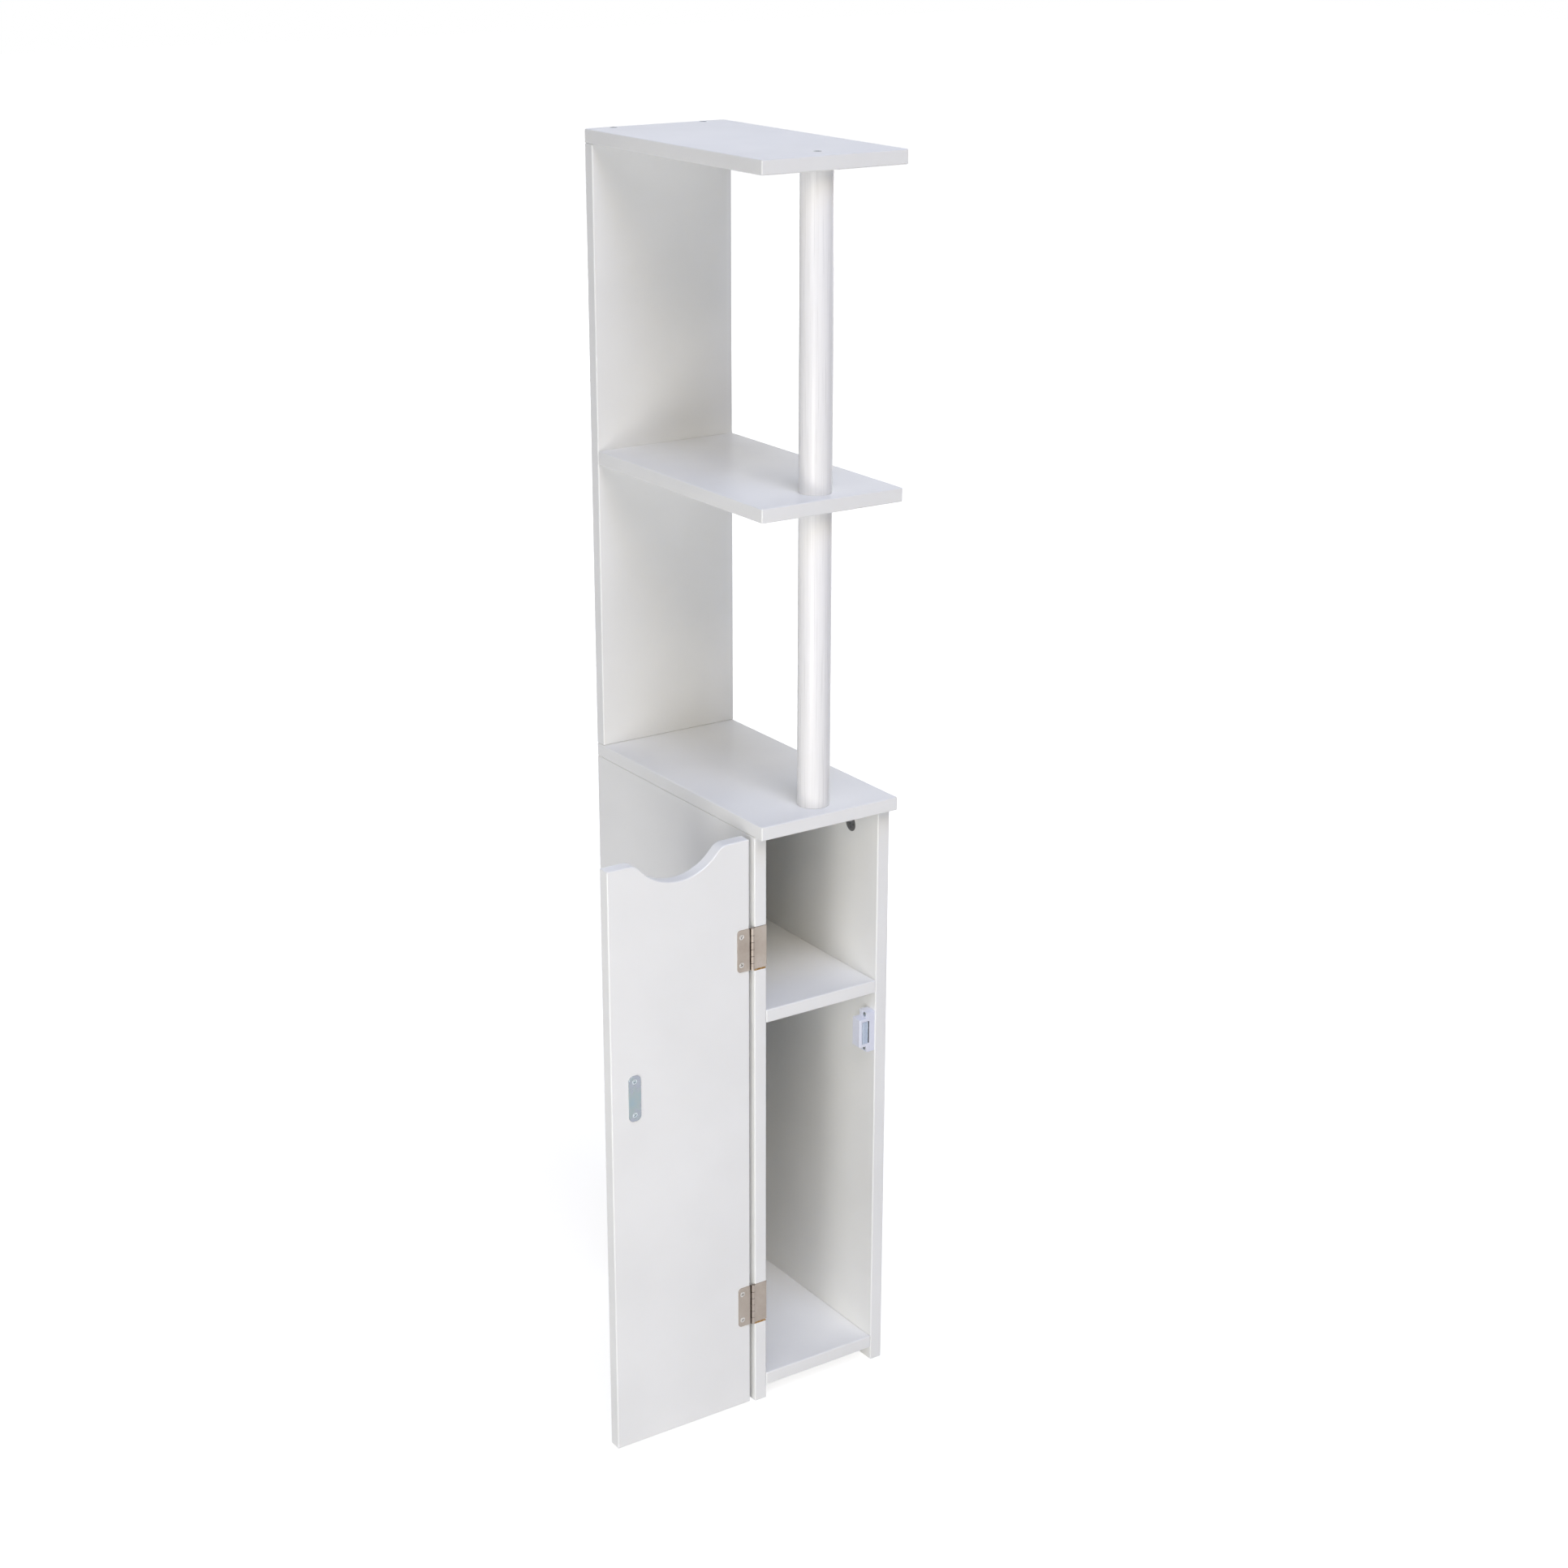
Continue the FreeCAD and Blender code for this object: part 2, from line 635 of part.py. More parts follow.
def catch_housing():
    body = new_body("catch_housing", CATCH_X, CATCH_Y, "catch_height")
    ears = sketch_on(body, "XY_Plane")
    rectangle(ears, "-catch_base", "0", "0", "catch_depth")
    pad(body, ears, "catch_length", both_ways=True)
    box = sketch_on(body, "XY_Plane")
    rectangle(box, f"-{CATCH_REACH}", "0", "0", "catch_depth")
    block = pad(body, box, CATCH_BOX, both_ways=True)
    tip = -number(CATCH_REACH)
    round_edges(body, block, "catch_rounding", lambda edge: abs(edge.BoundBox.XMax - tip) < SAME)
    seat = sketch_on(body, "XZ_Plane")
    tall = "(pole_height / 2 + clearance)"
    rectangle(seat, f"(catch_wall - {CATCH_REACH})", f"-{tall}", "-catch_back", tall)
    pocket(body, seat, "(pole_depth + clearance)")
    screws = sketch_on(body, "YZ_Plane", "-catch_base")
    levels = ("-catch_screw_spacing / 2", "catch_screw_spacing / 2")
    circles(screws, [("catch_screw_setback", z) for z in levels], "small_screw_radius")
    countersink(body, screws, "small_screw_radius", "catch_screw_head", "plate", reverse=True)


def bar(label, x, y, thickness, length, node=True):
    block = doc.addObject("Part::Box", label)
    block.Label = label
    bind(block, "Length", thickness)
    bind(block, "Width", length)
    bind(block, "Height", "pole_height")
    place(block, x, y, "(catch_height - pole_height / 2)")
    if node:
        nodes.append(block)
    return block


def catch_magnet_and_poles():
    front = f"({CATCH_Y} - pole_proud)"
    bar("catch_magnet", f"({PACK_X} + pole_thickness)", f"({front} + magnet_sink)", "magnet_thickness",
        "(pole_proud + pole_depth - magnet_sink)")
    sides = (PACK_X, f"({PACK_X} + pole_thickness + magnet_thickness)")
    plates = [bar(f"pole_{i}", x, front, "pole_thickness", "(pole_proud + pole_depth)", node=False)
              for i, x in enumerate(sides)]
    pair = doc.addObject("Part::Compound", "catch_pole_plates")
    pair.Label = "catch_pole_plates"
    pair.Links = plates
    nodes.append(pair)


def strike_plate():
    body = new_body("strike_plate", STRIKE_X, f"({DOOR_FACE} - plate)", "catch_height")
    sketch = sketch_on(body, "XZ_Plane")
    rectangle(sketch, "-strike_width / 2", "-strike_height / 2", "strike_width / 2", "strike_height / 2")
    blank = pad(body, sketch, "plate", reverse=True)
    round_edges(body, blank, "strike_corner", lambda edge: runs_along(edge, "y"))
    screws = sketch_on(body, "XZ_Plane")
    levels = ("-strike_screw_spacing / 2", "strike_screw_spacing / 2")
    circles(screws, [("0", z) for z in levels], "small_screw_radius")
    countersink(body, screws, "small_screw_radius", "small_screw_head", "plate")


# Fasteners: each is made once along Z and copied to its places

def screw(label, radius, head, sink, length):
    body = turned(label, [
        ("0", "0"), (head, "0"), (radius, f"-{sink}"), (radius, f"(2 * {radius} - {length})"),
        ("0", f"-{length}"),
    ])
    cross_recess(body, head, sink)
    return body


def board_screws():
    original = screw("board_screw", "board_screw_radius", "board_screw_head", "board_screw_sink",
                     "board_screw_length")
    crown = [(f"({LEFT} + {x})", f"({FRONT} + {y})") for x, y in CROWN_SCREWS]
    group("top_shelf_screws", original, [(x, y, "height", DRIVEN["down"]) for x, y in crown])
    group("cabinet_top_screws", original, [(x, y, PANEL_HEIGHT, DRIVEN["up"]) for x, y in crown])
    group("middle_shelf_screws", original,
          [(f"({LEFT} + {x})", REAR, "(middle_height - board / 2)", DRIVEN["forward"]) for x in REAR_SCREWS])
    for label, level in SHELF_LEVELS.items():
        group(f"{label}_screws", original, [
            (x, f"({PANEL_FRONT} + {y})", f"({level} - board / 2)", DRIVEN[way])
            for x, way in ((LEFT, "right"), (RIGHT, "left")) for y in SHELF_SCREWS
        ])


def small_screws():
    original = screw("small_screw", "small_screw_radius", "small_screw_head", "plate", "small_screw_length")
    levels = [z for middle in HINGE_LEVELS.values() for z in hinge_screw_levels(middle)]
    group("hinge_frame_screws", original, [
        (f"({LEFT} + board + plate)", f"({PIN_Y} + leaf_gap / 2 + wrap_screw_reach)", z, DRIVEN["left"])
        for z in levels
    ])
    group("hinge_door_screws", original,
          [("-hinge_screw_reach", f"({DOOR_FACE} - plate)", z, DRIVEN["back"]) for z in levels])
    longer = screw("catch_screw", "small_screw_radius", "catch_screw_head", "plate", "catch_screw_length")
    group("catch_screws", longer, [
        (f"({CATCH_X} - catch_base)", f"({CATCH_Y} + catch_screw_setback)",
         f"(catch_height {sign} catch_screw_spacing / 2)", DRIVEN["right"])
        for sign in "-+"
    ])
    group("strike_screws", original, [
        (STRIKE_X, f"({DOOR_FACE} - plate)", f"(catch_height {sign} strike_screw_spacing / 2)",
         DRIVEN["back"])
        for sign in "-+"
    ])


def cam_locks():
    cam = new_body("cam_lock", node=False)
    disc = sketch_on(cam, "XY_Plane")
    circles(disc, [("0", "0")], "cam_radius")
    pad(cam, disc, "cam_depth", reverse=True)
    below = "(bolt_head_length / 2 + clearance)"
    throat = sketch_on(cam, "XZ_Plane", below)
    circles(throat, [("0", "-board / 2")], "(bolt_head_radius + clearance)")
    pocket(cam, throat, f"({below} + cam_radius + overrun)")
    cross_recess(cam, "cam_radius", "bolt_head_radius")
    places = ((f"({LEFT} + board)", FACE_RIGHT), (f"({RIGHT} - board)", FACE_LEFT))
    group("cam_locks", cam, [(x, f"({PANEL_FRONT} + {y})", f"({PANEL_HEIGHT} - cam_drop)", turn)
                             for x, turn in places for y in CAM_PLACES])


def panel_top_places(ys):
    return [(x, f"({PANEL_FRONT} + {y})", PANEL_HEIGHT, DRIVEN["down"])
            for x in (f"({LEFT} + board / 2)", f"({RIGHT} - board / 2)") for y in ys]


def cam_bolts():
    collar = "(bolt_head_length / 2 - cam_drop)"
    tip = "(-bolt_head_length / 2 - cam_drop)"
    bolt = turned("cam_bolt", [
        ("0", tip), ("bolt_head_radius", tip), ("bolt_head_radius", collar), ("bolt_neck_radius", collar),
        ("bolt_neck_radius", "0"), ("bolt_thread_radius", "0"), ("bolt_thread_radius", "bolt_thread_length"),
        ("0", "bolt_thread_length"),
    ])
    group("cam_bolts", bolt, panel_top_places(CAM_PLACES))


def alignment_dowels():
    narrow = "(dowel_radius - dowel_chamfer)"
    low = "(dowel_rise - dowel_length)"
    dowel = turned("dowel", [
        ("0", low), (narrow, low), ("dowel_radius", f"({low} + dowel_chamfer)"),
        ("dowel_radius", "(dowel_rise - dowel_chamfer)"), (narrow, "dowel_rise"), ("0", "dowel_rise"),
    ])
    group("alignment_dowels", dowel, panel_top_places(DOWEL_PLACES))


left_side_panel()
right_side_panel()
cupboard_shelves()
cabinet_back()
cabinet_top()
upper_back_panel()
middle_shelf()
top_shelf()
posts()
post_stud()
door()
for hinge_name, hinge_middle in HINGE_LEVELS.items():
    hinge(hinge_name, hinge_middle)
catch_housing()
catch_magnet_and_poles()
strike_plate()
board_screws()
small_screws()
cam_locks()
cam_bolts()
alignment_dowels()
doc.recompute()

# Nothing is written unless every object is sound and every cut took material away
for item in doc.Objects:
    if {"Invalid", "Error"} & set(item.State):
        raise RuntimeError(f"{item.Label} failed: {item.State}")
for cut in cuts:
    if cut.Shape.Volume > cut.BaseFeature.Shape.Volume - SAME:
        raise RuntimeError(f"{cut.Label} cuts nothing")
for node in nodes:
    if node.Shape.isNull() or not node.Shape.isValid() or not node.Shape.Solids:
        raise RuntimeError(f"{node.Label} has no sound solid")

os.makedirs("parts", exist_ok=True)
for node in nodes:
    node.Shape.exportStep(f"parts/{node.Label}.step")
print(f"{len(nodes)} sub-parts, {sum(len(node.Shape.Solids) for node in nodes)} solids")
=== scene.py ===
import json
import math

import bmesh
import bpy
from mathutils import Matrix, Vector


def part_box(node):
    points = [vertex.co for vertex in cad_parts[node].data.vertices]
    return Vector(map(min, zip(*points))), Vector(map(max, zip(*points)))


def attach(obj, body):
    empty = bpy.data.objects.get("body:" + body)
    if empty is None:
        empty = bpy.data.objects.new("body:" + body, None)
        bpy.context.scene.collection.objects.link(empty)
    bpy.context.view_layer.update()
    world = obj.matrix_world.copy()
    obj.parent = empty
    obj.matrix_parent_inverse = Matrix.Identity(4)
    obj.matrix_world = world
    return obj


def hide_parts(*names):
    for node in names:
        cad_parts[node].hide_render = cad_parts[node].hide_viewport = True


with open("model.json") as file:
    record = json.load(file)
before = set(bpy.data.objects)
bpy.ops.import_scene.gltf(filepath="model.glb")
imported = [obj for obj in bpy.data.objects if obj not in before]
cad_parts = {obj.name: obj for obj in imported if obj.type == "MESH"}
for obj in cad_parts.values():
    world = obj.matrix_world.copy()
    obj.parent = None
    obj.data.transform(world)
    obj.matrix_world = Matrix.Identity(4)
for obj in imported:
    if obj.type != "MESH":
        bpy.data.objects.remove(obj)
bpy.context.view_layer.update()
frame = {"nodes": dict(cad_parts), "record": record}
scene = bpy.context.scene
mm = 0.001
print("frame loaded:", len(frame["nodes"]), "CAD nodes")


# a CAD node's lowest corner, highest corner and middle at rest, in mm
def boxMm(node):
    low, high = (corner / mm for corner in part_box(node))
    return low, high, (low + high) / 2


# sRGB hex as written on a colour card, to the linear colour that the shaders want
def linear(hexCode):
    channels = [int(hexCode[i:i + 2], 16) / 255 for i in (1, 3, 5)]
    return [c / 12.92 if c <= 0.04045 else ((c + 0.055) / 1.055) ** 2.4 for c in channels] + [1.0]


# one node with its settings and links; whole numbers name a socket by its place
def addNode(tree, kind, settings=None, links=None):
    node = tree.nodes.new(kind)
    for key, value in (settings or {}).items():
        if isinstance(key, int) or key in node.inputs:
            node.inputs[key].default_value = value
        else:
            setattr(node, key, value)
    for key, source in (links or {}).items():
        tree.links.new(source, node.inputs[key])
    return node


# a material with only its shader, and the shader's own fixed values
def newMaterial(name, shaderValues):
    material = bpy.data.materials.new(name)
    material.use_nodes = True
    tree = material.node_tree
    shader = tree.nodes["Principled BSDF"]
    for socket, value in shaderValues.items():
        shader.inputs[socket].default_value = value
    return material, tree, shader


# joins what a finish worked out to its shader
def joinShader(tree, shader, colour, roughness, bump=None):
    tree.links.new(colour, shader.inputs["Base Color"])
    tree.links.new(roughness, shader.inputs["Roughness"])
    if bump:
        tree.links.new(bump.outputs["Normal"], shader.inputs["Normal"])


# colour ramp stops, each a place from 0 to 1 and a hex colour
def setStops(ramp, stops):
    while len(ramp.color_ramp.elements) < len(stops):
        ramp.color_ramp.elements.new(0.5)
    for element, (place, hexCode) in zip(ramp.color_ramp.elements, stops):
        element.position = place
        element.color = linear(hexCode)


# how many pattern repeats fit a metre, for a feature that many millimetres wide
def perMetre(featureMm):
    return 1 / (featureMm * mm)


# 1 inside a box and 0 outside it; limits give the low and high side in mm for each axis that counts
def insideBox(tree, place, limits):
    axes = addNode(tree, "ShaderNodeSeparateXYZ", {}, {0: place})
    inside = None
    for axis, (low, high) in limits.items():
        within = addNode(tree, "ShaderNodeMath",
                         {"operation": "COMPARE", 1: (low + high) / 2 * mm, 2: (high - low) / 2 * mm},
                         {0: axes.outputs[axis]}).outputs[0]
        if inside:
            within = addNode(tree, "ShaderNodeMath", {"operation": "MULTIPLY"},
                             {0: inside, 1: within}).outputs[0]
        inside = within
    return inside


# paints a shade colour over a colour inside a box, as painted shade; a Mix node takes its colours at 6 and 7
# and gives one at 2
def paintShadeInBox(tree, place, colour, shadeHex, limits):
    return addNode(tree, "ShaderNodeMix", {"data_type": "RGBA", 7: linear(shadeHex)},
                   {0: insideBox(tree, place, limits), 6: colour}).outputs[2]


noiseReach = {"From Min": 0.3, "From Max": 0.7}  # nearly all values of a noise lie between these

# Satin lacquer on fibreboard: sprayed, so nearly flat white with a faint orange peel,
# slow drifts in tone and a sheen that is a little uneven.
lacquerLook = {
    "stops": [(0.35, "#EEEEEB"), (0.65, "#F3F3F0")],
    "driftMm": 140,
    "peelMm": 3.2,  # the real peel is about 1.5 mm, too fine to show
    "peelHeightMm": 0.012,
    "sheenMm": 30,
    "roughLow": 0.30,
    "roughHigh": 0.42,
}
# where the hinges are let in, the lacquer is cut away down to the board's core; the cut is taller than the
# leaf in it. A painted shade darkens the gap above each leaf
mortiseLook = {
    "coreStops": [(0.45, "#B98F4E"), (0.7, "#E3D2B0")],
    "coreGrainMm": 1.4,
    "leaves": ("upper_hinge_frame_leaf", "lower_hinge_frame_leaf"),
    "belowLeaf": 1.53,
    "aboveLeaf": 0.63,
    "depth": (-140.0, -131.35),  # from in front of the panel to just behind the bottom of the cut
    "paintedShade": "#4A443D",  # painted shade: a dark line in the gap above each leaf, where the cut's upper lip shades it
    "paintedShadeHeight": 3.0,
}


def lacquerMaterial(name, mortised=False):
    material, tree, shader = newMaterial(name, {"IOR": 1.5})
    place = addNode(tree, "ShaderNodeTexCoord").outputs["Object"]
    drift = addNode(tree, "ShaderNodeTexNoise",
                    {"Scale": perMetre(lacquerLook["driftMm"]), "Detail": 3}, {"Vector": place})
    tone = addNode(tree, "ShaderNodeValToRGB", {}, {"Fac": drift.outputs["Fac"]})
    setStops(tone, lacquerLook["stops"])
    sheen = addNode(tree, "ShaderNodeTexNoise",
                    {"Scale": perMetre(lacquerLook["sheenMm"]), "Detail": 4}, {"Vector": place})
    rough = addNode(tree, "ShaderNodeMapRange",
                    {**noiseReach, "To Min": lacquerLook["roughLow"], "To Max": lacquerLook["roughHigh"]},
                    {"Value": sheen.outputs["Fac"]})
    peel = addNode(tree, "ShaderNodeTexNoise",
                   {"Scale": perMetre(lacquerLook["peelMm"]), "Detail": 1, "Roughness": 0.4},
                   {"Vector": place})
    bump = addNode(tree, "ShaderNodeBump",
                   {"Strength": 0.5, "Distance": lacquerLook["peelHeightMm"] * mm},
                   {"Height": peel.outputs["Fac"]})
    colour = tone.outputs["Color"]
    roughness = rough.outputs["Result"]
    if mortised:
        fibre = addNode(tree, "ShaderNodeTexNoise",
                        {"Scale": perMetre(mortiseLook["coreGrainMm"]), "Detail": 3}, {"Vector": place})
        core = addNode(tree, "ShaderNodeValToRGB", {}, {"Fac": fibre.outputs["Fac"]})
        setStops(core, mortiseLook["coreStops"])
        for leaf in mortiseLook["leaves"]:
            low, high, _ = boxMm(leaf)
            foot, head = low.z - mortiseLook["belowLeaf"], high.z + mortiseLook["aboveLeaf"]
            paintedShadeBox = {"Y": mortiseLook["depth"], "Z": (head - mortiseLook["paintedShadeHeight"], head)}
            cut = insideBox(tree, place, {"Y": mortiseLook["depth"], "Z": (foot, head)})
            colour = addNode(tree, "ShaderNodeMix", {"data_type": "RGBA"},
                             {0: cut, 6: colour, 7: core.outputs["Color"]}).outputs[2]
            # painted shade: the dark line in the gap above each leaf
            colour = paintShadeInBox(tree, place, colour, mortiseLook["paintedShade"], paintedShadeBox)
            roughness = addNode(tree, "ShaderNodeMath", {"operation": "MAXIMUM"},
                                {0: cut, 1: roughness}).outputs[0]
    joinShader(tree, shader, colour, roughness, bump)
    return material


# Satin paint on turned wood: two coats over a sanded rod, so the long grain only just shows through.
postPaintLook = {
    "stops": [(0.25, "#ECEBE9"), (0.55, "#F5F4F2")],
    "grainMm": 1.3,  # drawn wider than the real 0.5 mm grain, which is too fine to show
    "grainLengthMm": 70,
    "grainHeightMm": 0.015,
    "roughLow": 0.26,
    "roughHigh": 0.36,
}


def postPaintMaterial():
    look = postPaintLook
    material, tree, shader = newMaterial("satin_paint_on_turned_wood", {"IOR": 1.5})
    place = addNode(tree, "ShaderNodeTexCoord").outputs["Object"]
    across, along = perMetre(look["grainMm"]), perMetre(look["grainLengthMm"])
    stretched = addNode(tree, "ShaderNodeMapping", {"Scale": (across, across, along)}, {"Vector": place})
    grain = addNode(tree, "ShaderNodeTexNoise", {"Scale": 1.0, "Detail": 3}, {"Vector": stretched.outputs[0]})
    tone = addNode(tree, "ShaderNodeValToRGB", {}, {"Fac": grain.outputs["Fac"]})
    setStops(tone, look["stops"])
    rough = addNode(tree, "ShaderNodeMapRange",
                    {**noiseReach, "To Min": look["roughLow"], "To Max": look["roughHigh"]},
                    {"Value": grain.outputs["Fac"]})
    bump = addNode(tree, "ShaderNodeBump", {"Strength": 0.4, "Distance": look["grainHeightMm"] * mm},
                   {"Height": grain.outputs["Fac"]})
    joinShader(tree, shader, tone.outputs["Color"], rough.outputs["Result"], bump)
    return material


# Plated steel: the sheet's rolling lines run one way under the plating, the colour drifts in soft patches
# where the plating is thinner or has dulled, and the gloss drifts with it. On the hinge leaves a painted
# shade darkens the strip where the open door's leaf meets the hinge barrel.
screwSkin = {"patchMm": 4, "lineMm": 0.8, "lineLengthMm": 3, "lineHeightMm": 0.003}
platedLooks = {
    "nickel_plated_steel": {
        "stops": [(0.30, "#A1968C"), (0.55, "#AAA096"), (0.75, "#B0A79F")],
        "patchMm": 22, "lineMm": 0.5, "lineLengthMm": 24, "lineHeightMm": 0.006,
        "roughLow": 0.26, "roughHigh": 0.44,
        # painted shade where the door's leaf meets the barrel
        "paintedCreaseShade": "#645A51", "paintedCreaseShadeBox": {"X": (-2.8, -1.5), "Y": (-133.9, -130.0)},
    },
    "bright_zinc_plated_steel": {
        "stops": [(0.30, "#9AABB2"), (0.48, "#A0ABAC"), (0.62, "#A3A8B2"), (0.78, "#AAAFB3")],
        "patchMm": 14, "lineMm": 0.6, "lineLengthMm": 16, "lineHeightMm": 0.005,
        "roughLow": 0.22, "roughHigh": 0.38,
    },
    "zinc_plated_pole": {
        "stops": [(0.35, "#AAB4C2"), (0.65, "#BBC4D0")],
        "patchMm": 6, "lineMm": 0.6, "lineLengthMm": 8, "lineHeightMm": 0.004,
        "roughLow": 0.24, "roughHigh": 0.38,
    },
    "bright_nickel_screw": {
        **screwSkin, "stops": [(0.35, "#BDB9B3"), (0.65, "#CFCCC8")], "roughLow": 0.16, "roughHigh": 0.26,
    },
    "bright_zinc_screw": {
        **screwSkin, "stops": [(0.35, "#B9C4C8"), (0.65, "#CDD4D8")], "roughLow": 0.18, "roughHigh": 0.30,
    },
    "dull_zinc_screw": {
        **screwSkin, "stops": [(0.35, "#5F6467"), (0.65, "#787D80")], "roughLow": 0.30, "roughHigh": 0.42,
    },
}


def platedMaterial(name):
    look = platedLooks[name]
    material, tree, shader = newMaterial(name, {"Metallic": 1.0})
    place = addNode(tree, "ShaderNodeTexCoord").outputs["Object"]
    patch = addNode(tree, "ShaderNodeTexNoise",
                    {"Scale": perMetre(look["patchMm"]), "Detail": 4, "Roughness": 0.6}, {"Vector": place})
    tone = addNode(tree, "ShaderNodeValToRGB", {}, {"Fac": patch.outputs["Fac"]})
    setStops(tone, look["stops"])
    rough = addNode(tree, "ShaderNodeMapRange",
                    {**noiseReach, "To Min": look["roughHigh"], "To Max": look["roughLow"]},
                    {"Value": patch.outputs["Fac"]})
    across, along = perMetre(look["lineMm"]), perMetre(look["lineLengthMm"])
    stretched = addNode(tree, "ShaderNodeMapping", {"Scale": (across, across, along)}, {"Vector": place})
    lines = addNode(tree, "ShaderNodeTexNoise", {"Scale": 1.0, "Detail": 2}, {"Vector": stretched.outputs[0]})
    bump = addNode(tree, "ShaderNodeBump", {"Strength": 0.5, "Distance": look["lineHeightMm"] * mm},
                   {"Height": lines.outputs["Fac"]})
    colour = tone.outputs["Color"]
    # painted shade beside the hinge barrel
    if "paintedCreaseShade" in look:
        colour = paintShadeInBox(tree, place, colour, look["paintedCreaseShade"], look["paintedCreaseShadeBox"])
    joinShader(tree, shader, colour, rough.outputs["Result"], bump)
    return material


# Materials that are one speckled or clouded tone: a moulded plastic with a fine spark finish, a plated
# magnet, a grey die casting with cloudy skin. Each is colours, grain size and gloss. Inside its slot the
# plastic housing is painted dark grey, a painted shade.
mouldedLooks = {
    "moulded_white_abs": {
        "stops": [(0.35, "#E0E3EF"), (0.65, "#E5E8F2")], "metallic": 0.0,
        "grainMm": 1.6, "grainHeightMm": 0.006, "roughLow": 0.28, "roughHigh": 0.38,
        # painted shade deep inside the catch's slot
        "paintedSlotShade": "#3C4150",
        "slotBox": {"X": (131.3, 133.2), "Y": (-131.9, -100.0), "Z": (346.5, 369.5)},
    },
    "zinc_plated_magnet": {
        "stops": [(0.35, "#A2ADBD"), (0.65, "#B5BECD")], "metallic": 0.7,
        "grainMm": 1.2, "grainHeightMm": 0.01, "roughLow": 0.35, "roughHigh": 0.50,
    },
    "die_cast_zinc": {
        "stops": [(0.30, "#929395"), (0.70, "#ADAEB0")], "metallic": 0.9,
        "grainMm": 2.2, "grainHeightMm": 0.03, "roughLow": 0.40, "roughHigh": 0.58,
    },
}


def mouldedMaterial(name):
    look = mouldedLooks[name]
    material, tree, shader = newMaterial(name, {"Metallic": look["metallic"]})
    place = addNode(tree, "ShaderNodeTexCoord").outputs["Object"]
    grain = addNode(tree, "ShaderNodeTexNoise",
                    {"Scale": perMetre(look["grainMm"]), "Detail": 3, "Roughness": 0.6}, {"Vector": place})
    tone = addNode(tree, "ShaderNodeValToRGB", {}, {"Fac": grain.outputs["Fac"]})
    setStops(tone, look["stops"])
    rough = addNode(tree, "ShaderNodeMapRange",
                    {**noiseReach, "To Min": look["roughLow"], "To Max": look["roughHigh"]},
                    {"Value": grain.outputs["Fac"]})
    bump = addNode(tree, "ShaderNodeBump", {"Strength": 0.5, "Distance": look["grainHeightMm"] * mm},
                   {"Height": grain.outputs["Fac"]})
    colour = tone.outputs["Color"]
    # painted shade inside the slot
    if "paintedSlotShade" in look:
        colour = paintShadeInBox(tree, place, colour, look["paintedSlotShade"], look["slotBox"])
    joinShader(tree, shader, colour, rough.outputs["Result"], bump)
    return material


# Hardboard painted on one face: white and smooth towards the cupboard, bare brown with the
# press screen's weave on the back.
hardboardLook = {
    "paintStops": [(0.35, "#E6E6E4"), (0.6, "#EEEEEC")],
    "bareStops": [(0.3, "#6E5136"), (0.7, "#8A6845")],
    "fibreMm": 5,
    "screenMm": 3.0,  # the real weave is 1 mm, too fine to show
    "screenHeightMm": 0.2,
    "roughPaint": 0.42,
    "roughBare": 0.85,
    "paintDepth": 134.4,  # behind this the board is bare
}


def hardboardMaterial():
    look = hardboardLook
    material, tree, shader = newMaterial("hardboard_painted_on_one_face", {"IOR": 1.48})
    place = addNode(tree, "ShaderNodeTexCoord").outputs["Object"]
    axes = addNode(tree, "ShaderNodeSeparateXYZ", {}, {0: place})
    bare = addNode(tree, "ShaderNodeMath", {"operation": "GREATER_THAN", 1: look["paintDepth"] * mm},
                   {0: axes.outputs["Y"]}).outputs[0]
    fibre = addNode(tree, "ShaderNodeTexNoise",
                    {"Scale": perMetre(look["fibreMm"]), "Detail": 5, "Roughness": 0.65}, {"Vector": place})
    paint = addNode(tree, "ShaderNodeValToRGB", {}, {"Fac": fibre.outputs["Fac"]})
    setStops(paint, look["paintStops"])
    brown = addNode(tree, "ShaderNodeValToRGB", {}, {"Fac": fibre.outputs["Fac"]})
    setStops(brown, look["bareStops"])
    colour = addNode(tree, "ShaderNodeMix", {"data_type": "RGBA"},
                     {0: bare, 6: paint.outputs["Color"], 7: brown.outputs["Color"]})
    rough = addNode(tree, "ShaderNodeMapRange", {"To Min": look["roughPaint"], "To Max": look["roughBare"]},
                    {"Value": bare})
    screen = addNode(tree, "ShaderNodeTexVoronoi",
                     {"Scale": perMetre(look["screenMm"]), "Randomness": 0.0}, {"Vector": place})
    weave = addNode(tree, "ShaderNodeMath", {"operation": "MULTIPLY"},
                    {0: screen.outputs["Distance"], 1: bare})
    bump = addNode(tree, "ShaderNodeBump", {"Strength": 0.6, "Distance": look["screenHeightMm"] * mm},
                   {"Height": weave.outputs[0]})
    joinShader(tree, shader, colour.outputs[2], rough.outputs["Result"], bump)
    return material


# Beech as turned for dowels: pale tan with short dark flecks along the rod.
beechLook = {
    "stops": [(0.35, "#B98A5A"), (0.55, "#CFA577"), (0.75, "#DDB98F")],
    "fleckMm": 0.9,
    "fleckLengthMm": 5,
    "roughLow": 0.5,
    "roughHigh": 0.7,
}


